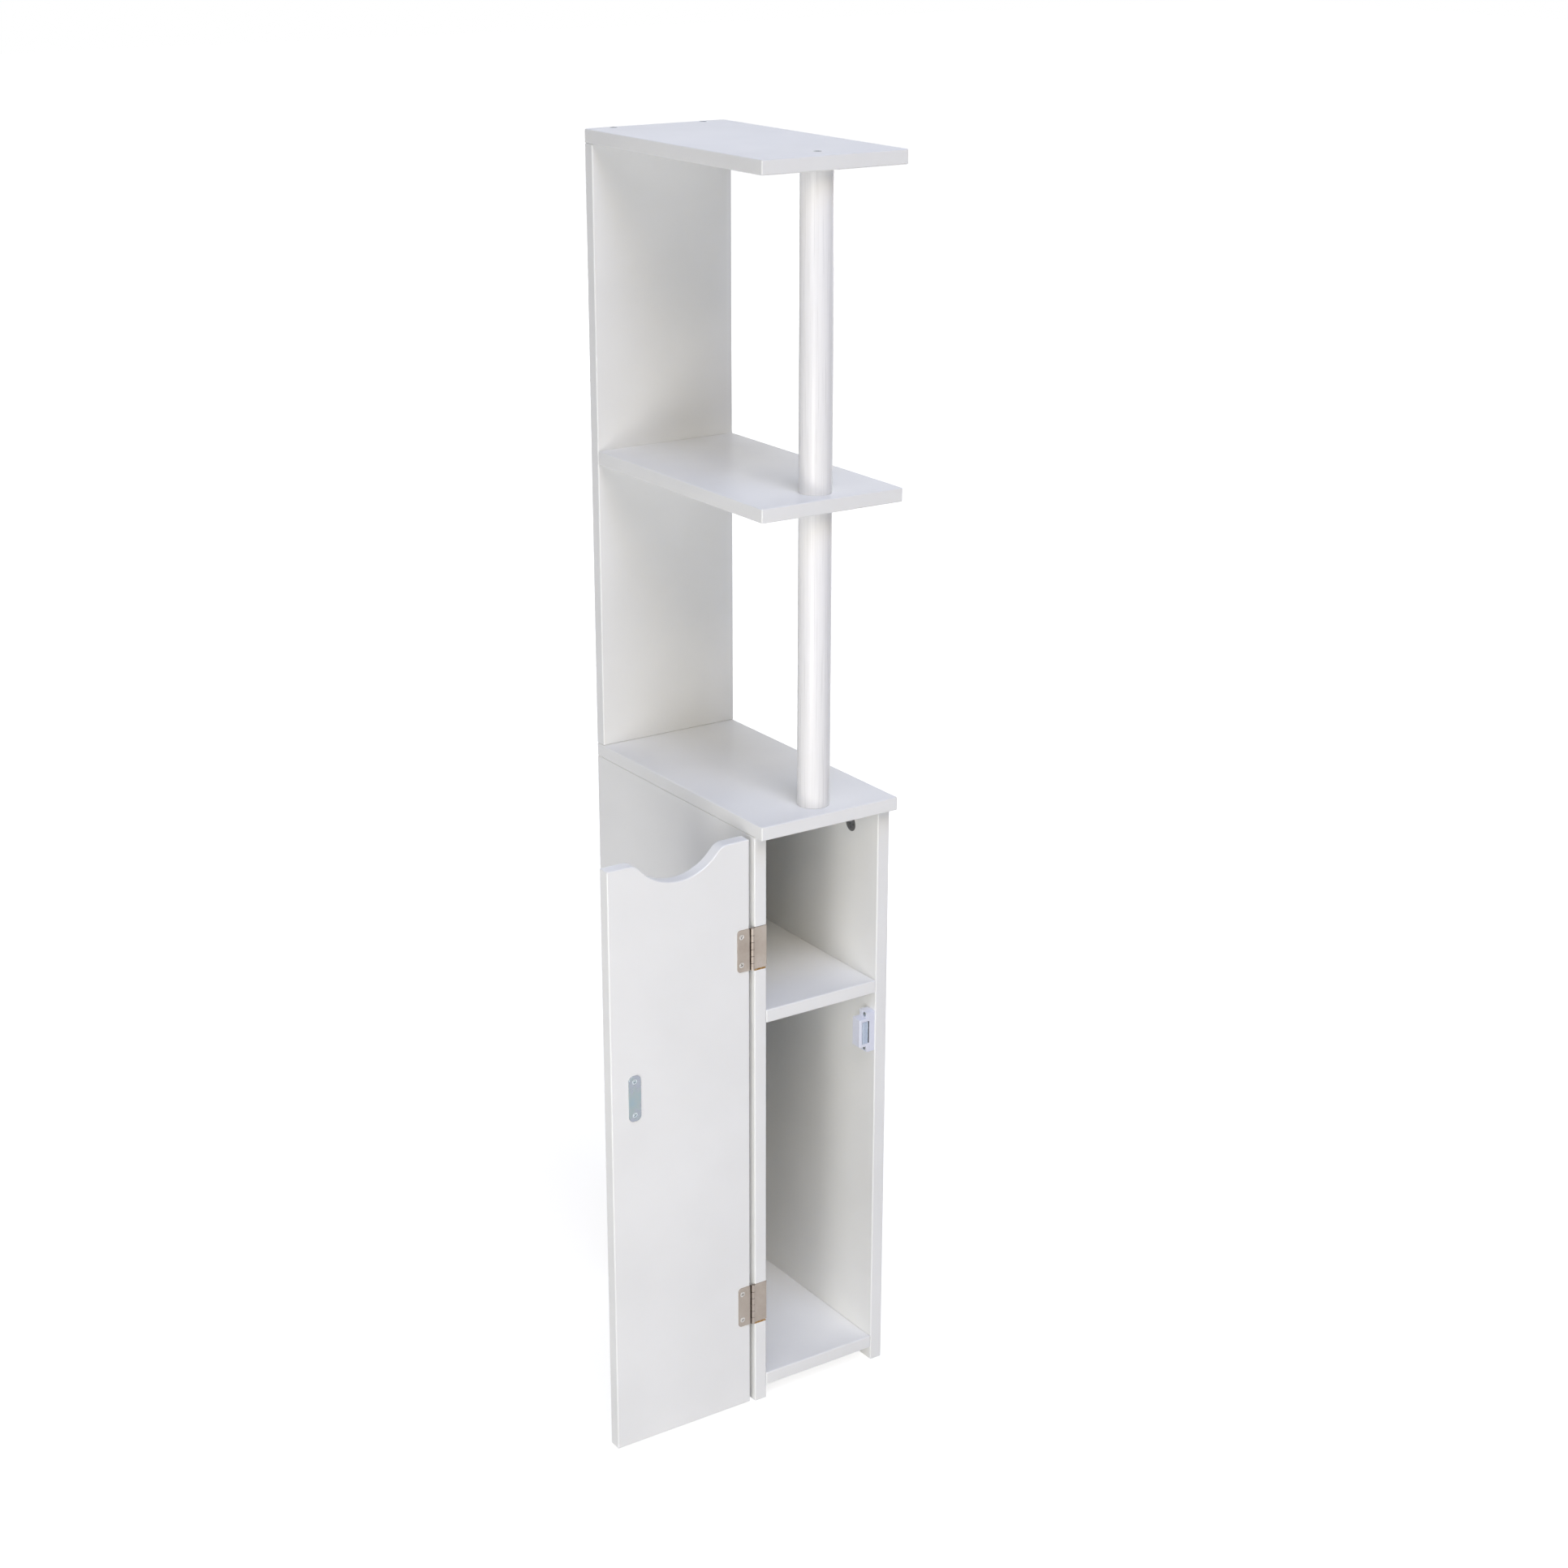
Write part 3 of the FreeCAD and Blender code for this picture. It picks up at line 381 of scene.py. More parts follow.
def beechMaterial():
    look = beechLook
    material, tree, shader = newMaterial("plain_beech", {"IOR": 1.5})
    place = addNode(tree, "ShaderNodeTexCoord").outputs["Object"]
    across, along = perMetre(look["fleckMm"]), perMetre(look["fleckLengthMm"])
    stretched = addNode(tree, "ShaderNodeMapping", {"Scale": (across, across, along)}, {"Vector": place})
    fleck = addNode(tree, "ShaderNodeTexNoise", {"Scale": 1.0, "Detail": 4}, {"Vector": stretched.outputs[0]})
    tone = addNode(tree, "ShaderNodeValToRGB", {}, {"Fac": fleck.outputs["Fac"]})
    setStops(tone, look["stops"])
    rough = addNode(tree, "ShaderNodeMapRange", {"To Min": look["roughLow"], "To Max": look["roughHigh"]},
                    {"Value": fleck.outputs["Fac"]})
    joinShader(tree, shader, tone.outputs["Color"], rough.outputs["Result"])
    return material


# one finish for each of the record's material slots
finishes = {
    "lacquered_board": lacquerMaterial("satin_lacquer_on_fibreboard"),
    "white_hardboard": hardboardMaterial(),
    "painted_post": postPaintMaterial(),
    "nickel_steel": platedMaterial("nickel_plated_steel"),
    "zinc_steel": platedMaterial("bright_zinc_plated_steel"),
    "white_plastic": mouldedMaterial("moulded_white_abs"),
    "plated_magnet": mouldedMaterial("zinc_plated_magnet"),
    "cast_zinc": mouldedMaterial("die_cast_zinc"),
    "beech": beechMaterial(),
}
hingePanelLacquer = lacquerMaterial("satin_lacquer_on_fibreboard_with_mortises", mortised=True)
brightNickel = platedMaterial("bright_nickel_screw")
brightZinc = platedMaterial("bright_zinc_screw")
dullZinc = platedMaterial("dull_zinc_screw")
for row in frame["record"]["subparts"]:
    node = frame["nodes"][row["node"]]
    node.data.materials.clear()
    node.data.materials.append(finishes[row["material_slot"]])
# the panel that carries the hinges and the poles of the catch have finishes of their own
frame["nodes"]["left_side_panel"].data.materials[0] = hingePanelLacquer
frame["nodes"]["catch_pole_plates"].data.materials[0] = platedMaterial("zinc_plated_pole")
print("materials made:", len(bpy.data.materials))


# faces that meet at less than smoothBelow degrees shade as one; edges sharper than softenAbove are eased
edgeLook = {"smoothBelow": 35, "softenAbove": 40, "softenSegments": 2}


# takes the knife edge off, so that edges catch the light as pressed and moulded ones do
def softenEdges(piece, widthMm):
    soften = piece.modifiers.new("softEdges", "BEVEL")
    soften.width = widthMm * mm
    soften.segments = edgeLook["softenSegments"]
    soften.limit_method = "ANGLE"
    soften.angle_limit = math.radians(edgeLook["softenAbove"])
    soften.use_clamp_overlap = True
    even = piece.modifiers.new("evenShade", "WEIGHTED_NORMAL")
    even.keep_sharp = True


# shades a finished shape, makes it an object on its body and lets it stand for CAD nodes
def finishPiece(shape, name, body, slot, replaced, softenMm=0.0, material=None):
    smoothBelow = math.radians(edgeLook["smoothBelow"])
    for face in shape.faces:
        face.smooth = True
    for edge in shape.edges:
        edge.smooth = len(edge.link_faces) == 2 and edge.calc_face_angle() < smoothBelow
    mesh = bpy.data.meshes.new(name)
    shape.to_mesh(mesh)
    shape.free()
    mesh.materials.append(material or finishes[slot])
    piece = bpy.data.objects.new(name, mesh)
    scene.collection.objects.link(piece)
    if softenMm:
        softenEdges(piece, softenMm)
    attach(piece, body)
    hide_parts(*replaced)


# small CAD pieces keep their shape; their loose triangles are welded and their edges eased
easedNodes = {"catch_housing": 0.2, "catch_pole_plates": 0.15, "catch_magnet": 0.1, "cam_locks": 0.3}
weldMm = 0.01
for name, easeMm in easedNodes.items():
    weld = frame["nodes"][name].modifiers.new("weld", "WELD")
    weld.merge_threshold = weldMm * mm
    softenEdges(frame["nodes"][name], easeMm)
print("CAD pieces eased:", len(easedNodes))


left, right, front, rear, up, down = (-1, 0, 0), (1, 0, 0), (0, -1, 0), (0, 1, 0), (0, 0, 1), (0, 0, -1)
touching = 0.000001  # metres; points nearer than this are one
onPlane = 0.0000001  # metres; points nearer a cut than this lie on it
sameWay = 0.99  # cosine above which a face looks the way asked for


# the vertices among what an operator made
def vertsIn(geometry):
    return [g for g in geometry if isinstance(g, bmesh.types.BMVert)]


# scores every face that a plane crosses
def scoreAcross(shape, point, way):
    bmesh.ops.bisect_plane(shape, geom=shape.verts[:] + shape.edges[:] + shape.faces[:],
                           dist=onPlane, plane_co=point, plane_no=way)


# a round rod with eased ends, where a CAD node stands
def turnRod(node, look):
    low, high, middle = boxMm(node)
    shape = bmesh.new()
    bmesh.ops.create_circle(shape, cap_ends=True, segments=look["segments"], radius=look["radius"] * mm)
    grown = bmesh.ops.extrude_face_region(shape, geom=shape.faces[:])["geom"]
    bmesh.ops.translate(shape, vec=(0, 0, (high.z - low.z) * mm), verts=vertsIn(grown))
    rims = [e for e in shape.edges if abs(e.verts[0].co.z - e.verts[1].co.z) < touching]
    bmesh.ops.bevel(shape, geom=rims, offset=look["easeMm"] * mm, offset_type="OFFSET",
                    segments=look["easeSegments"], profile=0.5, affect="EDGES", material=-1)
    bmesh.ops.translate(shape, vec=Vector((middle.x, middle.y, low.z)) * mm, verts=shape.verts)
    bmesh.ops.recalc_face_normals(shape, faces=shape.faces)
    return shape


# round posts: turned rods whose ends are eased before painting
postLook = {"radius": 15.0, "segments": 96, "easeMm": 0.7, "easeSegments": 3}
for name in ("lower_post", "upper_post"):
    finishPiece(turnRod(name, postLook), "turned_" + name, "cabinet", "painted_post", [name])
print("posts turned")


# countersunk screws with a slightly raised head; drop is how far the head lies below the surface
screwLooks = {
    "small": {"head": 2.8, "shank": 1.5, "sink": 0.9, "length": 9.6, "dome": 0.6, "drop": 0.35},
    "catch": {"head": 2.3, "shank": 1.5, "sink": 0.8, "length": 15.7, "dome": 0.7, "drop": 0.2},
    "board": {"head": 3.6, "shank": 2.0, "sink": 2.1, "length": 39.6, "dome": 0.25, "drop": 0.05},
}
# the cross in every head, in shares of the head's radius; an arm's half width is a share of a quarter turn
crossLook = {
    "segments": 32,
    "rings": (0.2, 0.4, 0.6, 0.8, 1.0),
    "eye": 0.2,
    "wideReach": 0.4,
    "reach": 0.6,
    "wideArm": 0.26,
    "slimArm": 0.13,
    "depth": 0.4,
    "bottom": 0.55,  # width at the bottom, of the width at the top
    "lowestMm": -0.05,  # faces below this belong to the shank
}


def makeScrew(look):
    head, shank, dome, length = (look[key] * mm for key in ("head", "shank", "dome", "length"))
    outline = [(head * share, dome * (1 - share ** 2)) for share in crossLook["rings"]]
    outline += [(shank, -look["sink"] * mm), (shank, 2 * shank - length), (0, -length)]
    shape = bmesh.new()
    tip = shape.verts.new((0, 0, dome))
    for across, level in outline:
        step = Vector((across, 0, level)) - tip.co
        grown = bmesh.ops.extrude_vert_indiv(shape, verts=[tip])["verts"]
        bmesh.ops.translate(shape, vec=step, verts=grown)
        tip = grown[0]
    bmesh.ops.spin(shape, geom=shape.verts[:] + shape.edges[:], cent=(0, 0, 0), axis=up, dvec=(0, 0, 0),
                   angle=math.tau, steps=crossLook["segments"], use_merge=True, use_duplicate=False)
    bmesh.ops.remove_doubles(shape, verts=shape.verts, dist=touching)
    bmesh.ops.recalc_face_normals(shape, faces=shape.faces)

    # four arms of the recess, pressed in and drawn together at the bottom
    arms = []
    for face in shape.faces:
        middle = face.calc_center_median()
        away = math.hypot(middle.x, middle.y) / head
        slant = abs((math.atan2(middle.y, middle.x) / (math.pi / 2) + 0.5) % 1 - 0.5)
        halfWidth = crossLook["wideArm"] if away < crossLook["wideReach"] else crossLook["slimArm"]
        inArm = away < crossLook["reach"] and slant < halfWidth
        if middle.z > crossLook["lowestMm"] * mm and (away < crossLook["eye"] or inArm):
            arms.append(face)
    pressed = vertsIn(bmesh.ops.extrude_face_region(shape, geom=arms)["geom"])
    bmesh.ops.delete(shape, geom=arms, context="FACES_ONLY")
    bmesh.ops.translate(shape, vec=(0, 0, -crossLook["depth"] * head), verts=pressed)
    bmesh.ops.scale(shape, vec=(crossLook["bottom"], crossLook["bottom"], 1), verts=pressed)
    return shape


# each place is a point in mm, the way the head faces, and the turn at which the driver left the cross
def screwSet(name, body, kind, slot, material, places):
    look = screwLooks[kind]
    allScrews = bmesh.new()
    for point, facing, turn in places:
        out = Vector(facing)
        sunk = (Vector(point) - out * look["drop"]) * mm
        aimed = out.to_track_quat("Z", "Y").to_matrix().to_4x4()
        driven = Matrix.Translation(sunk) @ aimed @ Matrix.Rotation(math.radians(turn), 4, "Z")
        one = makeScrew(look)
        bmesh.ops.transform(one, matrix=driven, verts=one.verts)
        single = bpy.data.meshes.new("oneScrew")
        one.to_mesh(single)
        one.free()
        allScrews.from_mesh(single)
        bpy.data.meshes.remove(single)
    finishPiece(allScrews, "cross_head_" + name, body, slot, [name], material=material)


# butt hinges: pressed leaves whose knuckles are rolled round the pin from the back; the frame's leaf is
# bent round the edge of the side panel
hingeLook = {
    "plate": 1.0,
    "boreRadius": 1.05,
    "knuckles": 6,
    "knuckleGap": 0.4,
    "rollDegrees": 256,
    "rollSteps": 28,
    "flatStart": 2.3,  # the leaf is flat from here on, beside the pin
    "neckBeside": 0.75,  # the sheet's last point before the roll lies this far beside the pin
    "neckShort": 0.08,  # and this far short of the back of the bore
    "bendRadius": 1.4,
    "bendSteps": 6,
    "corner": 3.0,
    "cornerSegments": 6,
    "softenMm": 0.12,
    "screwDrop": 13.75,  # from the leaf's middle, up and down
    "doorScrewX": -11.2,
    "frameScrewY": -121.5,
    "doorTurns": (20, 66, 41, 8),
    "frameTurns": (12, 57, 30, 75),
}
pinLook = {"radius": 1.0, "segments": 32, "easeMm": 0.35, "easeSegments": 3}
hingePlaces = ("upper", "lower")
leafFront = boxMm("door")[0].y - hingeLook["plate"]  # of the leaf on the open door, and of its mate


# the middles of a leaf's two screw seats, in mm
def leafSeats(where, kind):
    _, high, middle = boxMm(where + "_hinge_" + kind + "_leaf")
    x, y = (high.x, hingeLook["frameScrewY"]) if kind == "frame" else (hingeLook["doorScrewX"], leafFront)
    return [Vector((x, y, middle.z + drop)) for drop in (-hingeLook["screwDrop"], hingeLook["screwDrop"])]


for kind, body, facing in (("door", "door", front), ("frame", "cabinet", right)):
    seats = [seat for where in hingePlaces for seat in leafSeats(where, kind)]
    screwSet("hinge_" + kind + "_screws", body, "small", "nickel_steel", brightNickel,
             [(seat, facing, turn) for seat, turn in zip(seats, hingeLook[kind + "Turns"])])

# the catch's screws stand in the ears of its housing
catchLook = {"screwDrop": 17.3, "screwTurns": (15, 52)}
catchLow, _, catchMiddle = boxMm("catch_screws")
housingMiddle = boxMm("catch_housing")[2]
catchLevels = [housingMiddle.z - catchLook["screwDrop"], housingMiddle.z + catchLook["screwDrop"]]
screwSet("catch_screws", "cabinet", "catch", "zinc_steel", brightZinc,
         [((catchLow.x, catchMiddle.y, level), left, turn)
          for level, turn in zip(catchLevels, catchLook["screwTurns"])])

# strike plate: a pressed strip with rounded ends and two seats for its screws
strikeLook = {"corner": 5.0, "cornerSegments": 8, "softenMm": 0.2, "screwDrop": 16.5, "screwTurns": (33, 70)}
strikeLow, strikeHigh, strikeMiddle = boxMm("strike_plate")
strikeFront = Vector((strikeMiddle.x, strikeLow.y, strikeMiddle.z))
strikeSeats = [strikeFront + Vector((0, 0, drop))
               for drop in (-strikeLook["screwDrop"], strikeLook["screwDrop"])]
screwSet("strike_screws", "door", "small", "zinc_steel", brightZinc,
         [(seat, front, turn) for seat, turn in zip(strikeSeats, strikeLook["screwTurns"])])

# board screws: how far they stand in from the boards' ends, and a turn for each set
boardScrewLook = {
    "rearInset": 27.0,
    "sideInset": 45.0,
    "turns": {"top_shelf_screws": 25, "cabinet_top_screws": 10, "middle_shelf_screws": 40,
              "bottom_board_screws": 15, "inner_shelf_screws": 15},
}


# each place is a point in mm, the way the head faces, and degrees that it adds to the turn of its set
def boardScrews(name, places):
    screwSet(name, "cabinet", "board", "zinc_steel", dullZinc,
             [(point, facing, boardScrewLook["turns"][name] + extra) for point, facing, extra in places])


backLow, backHigh, backMiddle = boxMm("upper_back_panel")
postMiddle = boxMm("lower_post")[2]
rearX = (backLow.x + boardScrewLook["rearInset"], backHigh.x - boardScrewLook["rearInset"])
crown = [(x, backMiddle.y) for x in rearX] + [(postMiddle.x, postMiddle.y)]
boardScrews("top_shelf_screws", [((x, y, boxMm("top_shelf")[1].z), up, x) for x, y in crown])
boardScrews("cabinet_top_screws", [((x, y, boxMm("cabinet_top")[0].z), down, x) for x, y in crown])
boardScrews("middle_shelf_screws", [((x, backHigh.y, boxMm("middle_shelf")[2].z), rear, x) for x in rearX])
sides = ((boxMm("left_side_panel")[0].x, left), (boxMm("right_side_panel")[1].x, right))
for board in ("bottom_board", "inner_shelf"):
    low, high, middle = boxMm(board)
    sideY = (low.y + boardScrewLook["sideInset"], high.y - boardScrewLook["sideInset"])
    boardScrews(board + "_screws", [((x, y, middle.z), facing, y) for x, facing in sides for y in sideY])
print("screws set")


# conical seats for the heads of the small screws
seatLook = {"rim": 3.15, "root": 1.55, "depth": 0.95, "margin": 0.45, "cuts": 7, "insetMm": 0.2}


# presses a seat into a flat front: the face round it is cut square, its rim divided and pulled to a
# circle, and the middle drawn back
def pressSeat(shape, seatMm, facing):
    centre = seatMm * mm
    out = Vector(facing)
    upward = Vector(up)
    sideways = upward.cross(out)
    half = (seatLook["rim"] + seatLook["margin"]) * mm

    def faceThere():
        flats = [f for f in shape.faces if f.normal.dot(out) > sameWay]
        return min(flats, key=lambda f: (f.calc_center_median() - centre).length)

    for way in (upward, sideways):
        for sign in (-1, 1):
            scoreAcross(shape, centre + way * half * sign, way)
    bmesh.ops.subdivide_edges(shape, edges=faceThere().edges[:], cuts=seatLook["cuts"], use_grid_fill=False)
    seat = faceThere()
    for radius, back in ((seatLook["rim"], 0.0), (seatLook["root"], seatLook["depth"])):
        bmesh.ops.inset_region(shape, faces=[seat], thickness=seatLook["insetMm"] * mm, use_even_offset=True)
        for vert in seat.verts:
            away = vert.co - centre
            away -= out * away.dot(out)
            vert.co = centre + away.normalized() * radius * mm - out * back * mm


def hingeLeaf(where, kind, body):
    look = hingeLook
    name = where + "_hinge_" + kind + "_leaf"
    wraps = kind == "frame"
    side = 1 if wraps else -1
    low, high, middle = boxMm(name)
    pin = boxMm(where + "_hinge_pin")[2]
    height = high.z - low.z
    shape = bmesh.new()

    def runTo(x, y):
        grown = bmesh.ops.extrude_vert_indiv(shape, verts=[tip])["verts"]
        bmesh.ops.translate(shape, vec=Vector((x, y, low.z)) * mm - tip.co, verts=grown)
        return grown[0]

    def curlAbout(x, y, degrees, steps):
        turned = bmesh.ops.spin(shape, geom=[tip], cent=Vector((x, y, low.z)) * mm, axis=up, dvec=(0, 0, 0),
                                angle=math.radians(degrees), steps=steps, use_duplicate=False)
        return vertsIn(turned["geom_last"])[0]

    # the leaf's front line in plan, from its free end to the end of the roll
    if wraps:
        bendY = leafFront + look["bendRadius"]
        tip = shape.verts.new(Vector((high.x, high.y, low.z)) * mm)
        tip = runTo(high.x, bendY)
        tip = curlAbout(high.x - look["bendRadius"], bendY, -90, look["bendSteps"])
    else:
        tip = shape.verts.new(Vector((low.x, leafFront, low.z)) * mm)
    tip = runTo(pin.x + side * look["flatStart"], leafFront)
    tip = runTo(pin.x + side * look["neckBeside"], pin.y + look["boreRadius"] - look["neckShort"])
    tip = runTo(pin.x, pin.y + look["boreRadius"])
    tip = curlAbout(pin.x, pin.y, side * look["rollDegrees"], look["rollSteps"])

    # raised to the hinge's height, and cut into knuckles
    raised = bmesh.ops.extrude_edge_only(shape, edges=shape.edges[:])["geom"]
    bmesh.ops.translate(shape, vec=(0, 0, height * mm), verts=vertsIn(raised))
    pitch = height / look["knuckles"]
    gaps = []  # each leaf lacks every second knuckle
    for i in range(1 if wraps else 0, look["knuckles"], 2):
        gapFoot = (low.z + pitch * i - look["knuckleGap"] / 2) * mm
        gapHead = (low.z + pitch * (i + 1) + look["knuckleGap"] / 2) * mm
        gaps.append((gapFoot, gapHead))
        for level in (gapFoot, gapHead):
            scoreAcross(shape, (0, 0, level), up)
    cutAway = []
    for face in shape.faces:
        centre = face.calc_center_median()
        inGap = any(gapFoot < centre.z < gapHead for gapFoot, gapHead in gaps)
        if inGap and abs(centre.x) < look["flatStart"] * mm:
            cutAway.append(face)
    bmesh.ops.delete(shape, geom=cutAway, context="FACES")
    bmesh.ops.recalc_face_normals(shape, faces=shape.faces)

    # sheet thickness goes to the back of the front line
    widest = max(shape.faces, key=lambda f: abs(f.normal.y) * f.calc_area())
    if widest.normal.y > 0:
        bmesh.ops.reverse_faces(shape, faces=shape.faces)
    bmesh.ops.solidify(shape, geom=shape.faces[:], thickness=look["plate"] * mm)
    bmesh.ops.recalc_face_normals(shape, faces=shape.faces)

    # rounded free corners
    corners = []
    for edge in shape.edges:
        first, second = (vert.co for vert in edge.verts)
        if wraps:
            atFreeEnd = min(first.y, second.y) > high.y * mm - touching
        else:
            atFreeEnd = max(first.x, second.x) < low.x * mm + touching
        isLevel = abs(first.z - second.z) < touching
        atFootOrHead = abs(abs(first.z - middle.z * mm) - height / 2 * mm) < touching
        if atFreeEnd and isLevel and atFootOrHead:
            corners.append(edge)
    bmesh.ops.bevel(shape, geom=corners, offset=look["corner"] * mm, offset_type="OFFSET",
                    segments=look["cornerSegments"], profile=0.5, affect="EDGES", material=-1)

    # seats for the screws, in the flat that the knuckle cuts had split
    facing = right if wraps else front
    flatLevel = (high.x if wraps else -leafFront) * mm
    flats = [f for f in shape.faces if f.normal.dot(facing) > sameWay
             and all(abs(v.co.dot(facing) - flatLevel) < touching for v in f.verts)]
    bmesh.ops.dissolve_faces(shape, faces=flats)
    for seat in leafSeats(where, kind):
        pressSeat(shape, seat, facing)
    bmesh.ops.recalc_face_normals(shape, faces=shape.faces)
    finishPiece(shape, "rolled_" + name, body, "nickel_steel", [name], look["softenMm"])


for where in hingePlaces:
    hingeLeaf(where, "frame", "cabinet")
    hingeLeaf(where, "door", "door")
    pinName = where + "_hinge_pin"
    finishPiece(turnRod(pinName, pinLook), "drawn_" + pinName, "cabinet", "nickel_steel", [pinName])
print("hinges rolled")


# the strike plate starts as a square of 1 mm, is stretched to size, stood up, rounded and thickened
strikeSize = strikeHigh - strikeLow
shape = bmesh.new()
bmesh.ops.create_grid(shape, x_segments=1, y_segments=1, size=0.5 * mm)
bmesh.ops.scale(shape, vec=(strikeSize.x, strikeSize.z, 1), verts=shape.verts)
bmesh.ops.rotate(shape, cent=(0, 0, 0), matrix=Matrix.Rotation(math.radians(90), 3, "X"), verts=shape.verts)
bmesh.ops.bevel(shape, geom=shape.verts[:], offset=strikeLook["corner"] * mm, offset_type="OFFSET",
                segments=strikeLook["cornerSegments"], profile=0.5, affect="VERTICES", material=-1)
grown = bmesh.ops.extrude_face_region(shape, geom=shape.faces[:])["geom"]
bmesh.ops.translate(shape, vec=(0, strikeSize.y * mm, 0), verts=vertsIn(grown))
bmesh.ops.translate(shape, vec=strikeFront * mm, verts=shape.verts)
bmesh.ops.recalc_face_normals(shape, faces=shape.faces)
for seat in strikeSeats:
    pressSeat(shape, seat, front)
bmesh.ops.recalc_face_normals(shape, faces=shape.faces)
finishPiece(shape, "pressed_strike_plate", "door", "zinc_steel", ["strike_plate"], strikeLook["softenMm"])
print("strike plate pressed")


# pale studio: white to the camera, a plain diffuse floor to the light
studio = {
    "floorSize": 16.0,
    "floorColour": "#D2D2D2",
    "floorSeenColour": "#A8A8A8",
    "white": "#FFFFFF",
    "glowNear": 0.80,  # how much of the floor's white is its own, beside the cabinet
    "glowFar": 1.0,
    "glowReach": [0.25, 1.6],
    "ambient": 0.05,
    # watts, colour, size, and where it hangs: degrees left of the front, degrees up, metres away
    "lamps": {
        "frontPanel": (272, "#FFF4E6", 4.6, 16, 46, 8.0),
        "leftPanel": (92, "#FFFFFF", 2.4, 62, 12, 7.2),
        "lowFill": (9, "#FFFDF8", 0.7, 48, -14, 1.7),
        "coolTopPanel": (138, "#B2CBFF", 3.2, 10, 62, 6.8),
        "overheadPanel": (40, "#8FADFF", 6.0, 0, 88, 5.8),
        "rightPanel": (205, "#FFFFFF", 3.6, -112, 10, 7.6),
        "rearPanel": (200, "#FFFFFF", 3.6, 190, 10, 7.6),
    },
    "lampTarget": (0.05, 0.0, 0.7),
}


# 1 for the rays that see the background, straight or by way of metal and glass
def seeingRays(tree):
    rays = addNode(tree, "ShaderNodeLightPath")
    seen = addNode(tree, "ShaderNodeMath", {"operation": "ADD", "use_clamp": True},
                   {0: rays.outputs["Is Camera Ray"], 1: rays.outputs["Is Glossy Ray"]})
    return addNode(tree, "ShaderNodeMath", {"operation": "ADD", "use_clamp": True},
                   {0: seen.outputs[0], 1: rays.outputs["Is Transmission Ray"]}).outputs[0]


world = bpy.data.worlds.new("whiteStudio")
world.use_nodes = True
scene.world = world
worldTree = world.node_tree
worldTree.nodes.clear()
white = linear(studio["white"])
ambient = addNode(worldTree, "ShaderNodeBackground", {"Color": white, "Strength": studio["ambient"]})
seenWhite = addNode(worldTree, "ShaderNodeBackground", {"Color": white, "Strength": 1.0})
worldMix = addNode(worldTree, "ShaderNodeMixShader", {},
                   {0: seeingRays(worldTree), 1: ambient.outputs[0], 2: seenWhite.outputs[0]})
addNode(worldTree, "ShaderNodeOutputWorld", {}, {"Surface": worldMix.outputs[0]})

floorMaterial, floorTree, floorShader = newMaterial("pale_studio_floor", {})
floorTree.nodes.remove(floorShader)
floorPlace = addNode(floorTree, "ShaderNodeTexCoord").outputs["Object"]
floorAway = addNode(floorTree, "ShaderNodeVectorMath", {"operation": "LENGTH"}, {0: floorPlace})
floorWhite = addNode(floorTree, "ShaderNodeMapRange",
                     {"interpolation_type": "SMOOTHSTEP",
                      "From Min": studio["glowReach"][0], "From Max": studio["glowReach"][1],
                      "To Min": studio["glowNear"], "To Max": studio["glowFar"]},
                     {"Value": floorAway.outputs["Value"]})
floorDiffuse = addNode(floorTree, "ShaderNodeBsdfDiffuse", {"Color": linear(studio["floorColour"])})
floorSeen = addNode(floorTree, "ShaderNodeBsdfDiffuse", {"Color": linear(studio["floorSeenColour"])})
floorGlow = addNode(floorTree, "ShaderNodeEmission", {"Color": white},
                    {"Strength": floorWhite.outputs["Result"]})
floorBoth = addNode(floorTree, "ShaderNodeAddShader", {}, {0: floorSeen.outputs[0], 1: floorGlow.outputs[0]})
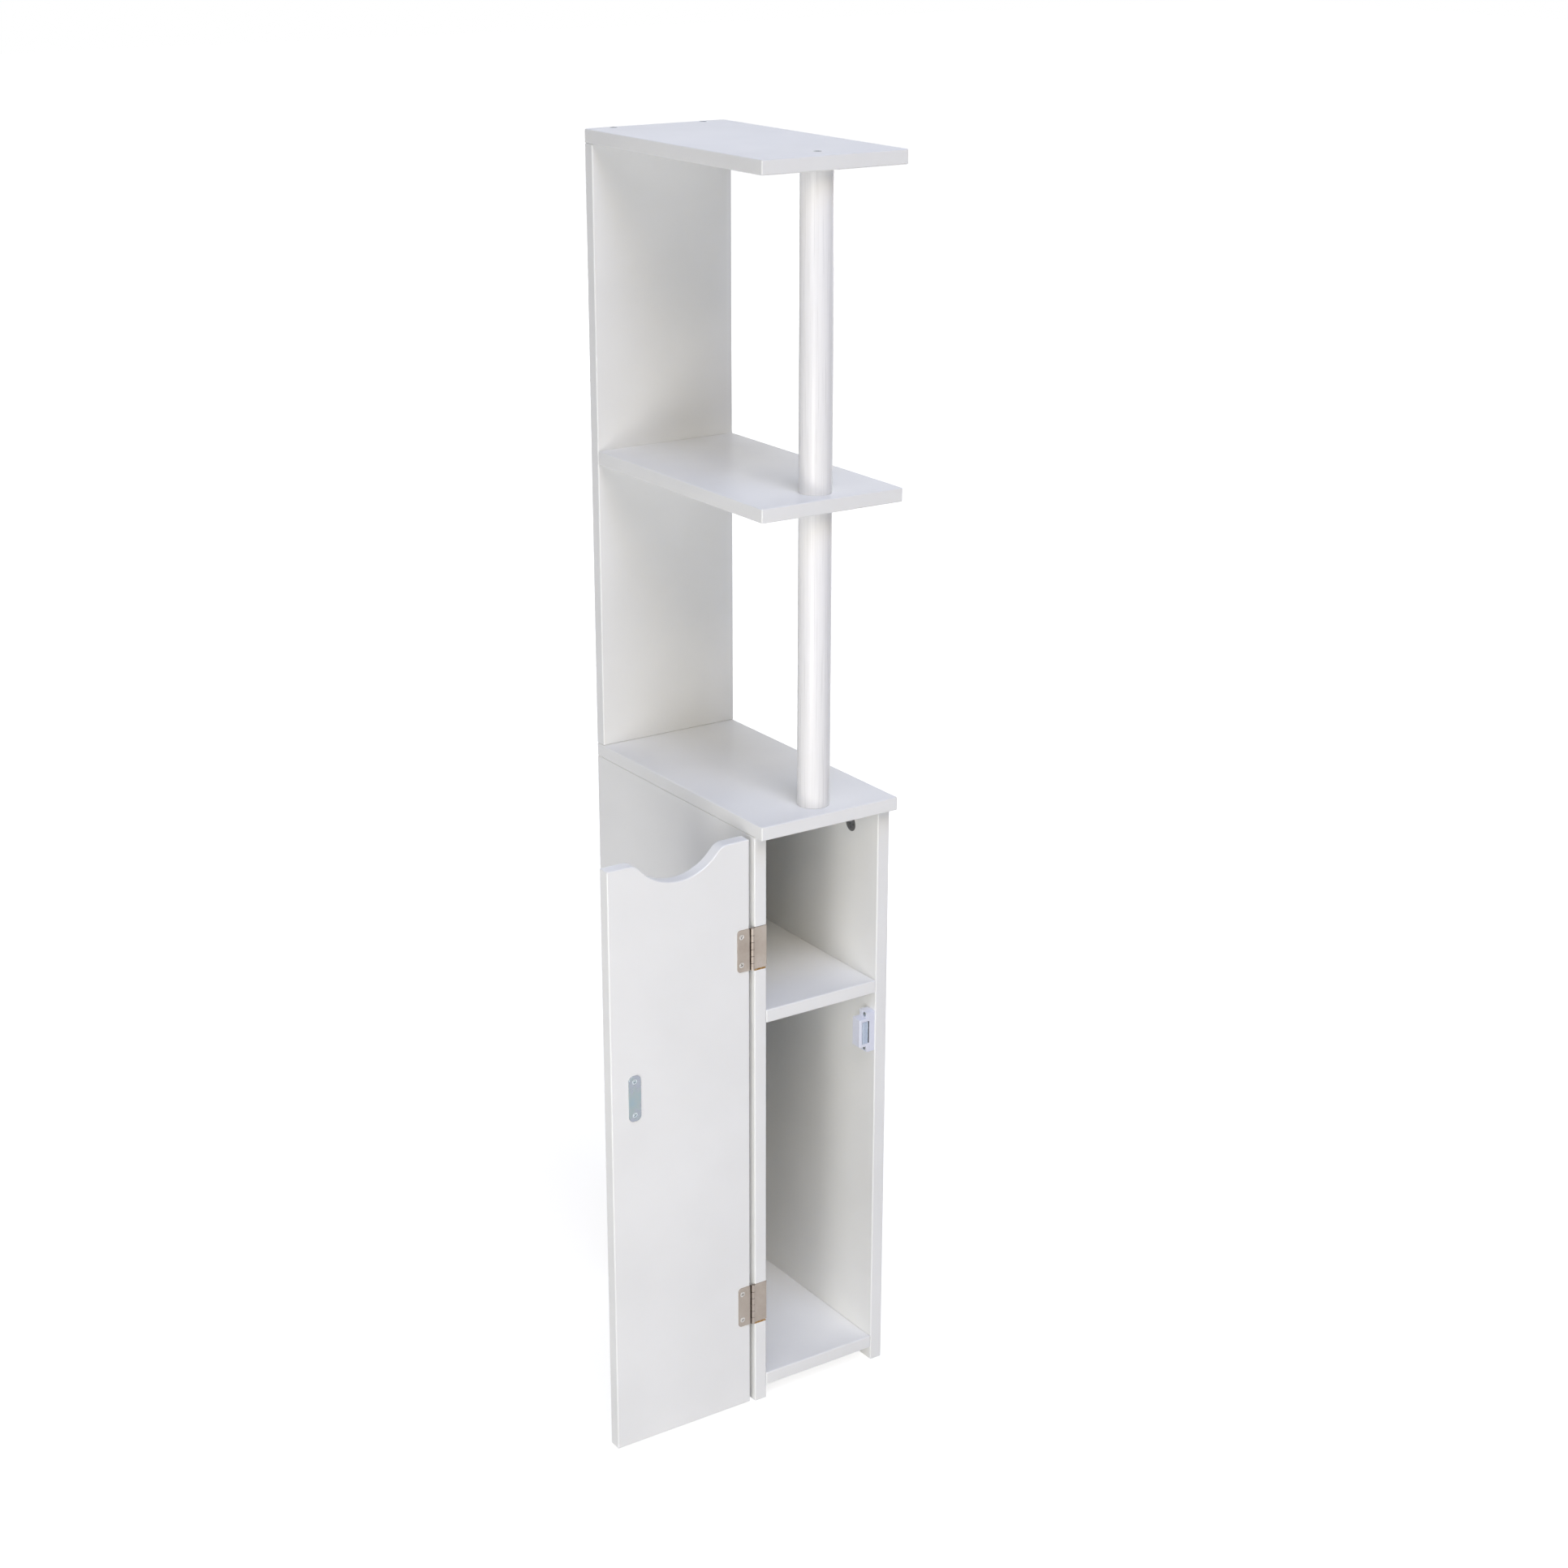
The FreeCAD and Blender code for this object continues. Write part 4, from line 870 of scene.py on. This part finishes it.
floorMix = addNode(floorTree, "ShaderNodeMixShader", {},
                   {0: seeingRays(floorTree), 1: floorDiffuse.outputs[0], 2: floorBoth.outputs[0]})
floorTree.links.new(floorMix.outputs[0], floorTree.nodes["Material Output"].inputs["Surface"])

floorShape = bmesh.new()
bmesh.ops.create_grid(floorShape, x_segments=1, y_segments=1, size=studio["floorSize"])
floorMesh = bpy.data.meshes.new("floor")
floorShape.to_mesh(floorMesh)
floorShape.free()
floorMesh.materials.append(floorMaterial)
floor = bpy.data.objects.new("floor", floorMesh)
scene.collection.objects.link(floor)


# soft square lamps, each turned to the cabinet's middle
lampTarget = Vector(studio["lampTarget"])
for name, (watts, hexColour, size, leftDegrees, upDegrees, away) in studio["lamps"].items():
    lamp = bpy.data.lights.new(name, "AREA")
    lamp.size = size
    lamp.energy = watts
    lamp.color = linear(hexColour)[:3]
    lampObject = bpy.data.objects.new(name, lamp)
    reach = Vector((0, -away, 0))
    reach.rotate(Matrix.Rotation(math.radians(-upDegrees), 3, "X"))
    reach.rotate(Matrix.Rotation(math.radians(-leftDegrees), 3, "Z"))
    lampObject.location = lampTarget + reach
    lampObject.visible_camera = False
    lampObject.rotation_euler = (-reach).to_track_quat("-Z", "Y").to_euler()
    scene.collection.objects.link(lampObject)

# camera solved from the photo's corner points, for a square picture; its turns in degrees, in this order
photoCamera = {
    "lens": 62.83,
    "sensor": 36.0,
    "place": (-1.26505, -2.0517, 1.4425),
    "turns": (("Z", -34.102), ("X", 70.613), ("Z", 0.155)),
}
camera = bpy.data.cameras.new("photoCamera")
camera.sensor_width = photoCamera["sensor"]
camera.lens = photoCamera["lens"]
cameraObject = bpy.data.objects.new("photoCamera", camera)
cameraPlace = Matrix.Translation(photoCamera["place"])
for axis, degrees in photoCamera["turns"]:
    cameraPlace = cameraPlace @ Matrix.Rotation(math.radians(degrees), 4, axis)
cameraObject.matrix_world = cameraPlace
scene.collection.objects.link(cameraObject)
scene.camera = cameraObject
scene.view_settings.view_transform = "Standard"
print("studio and camera set")
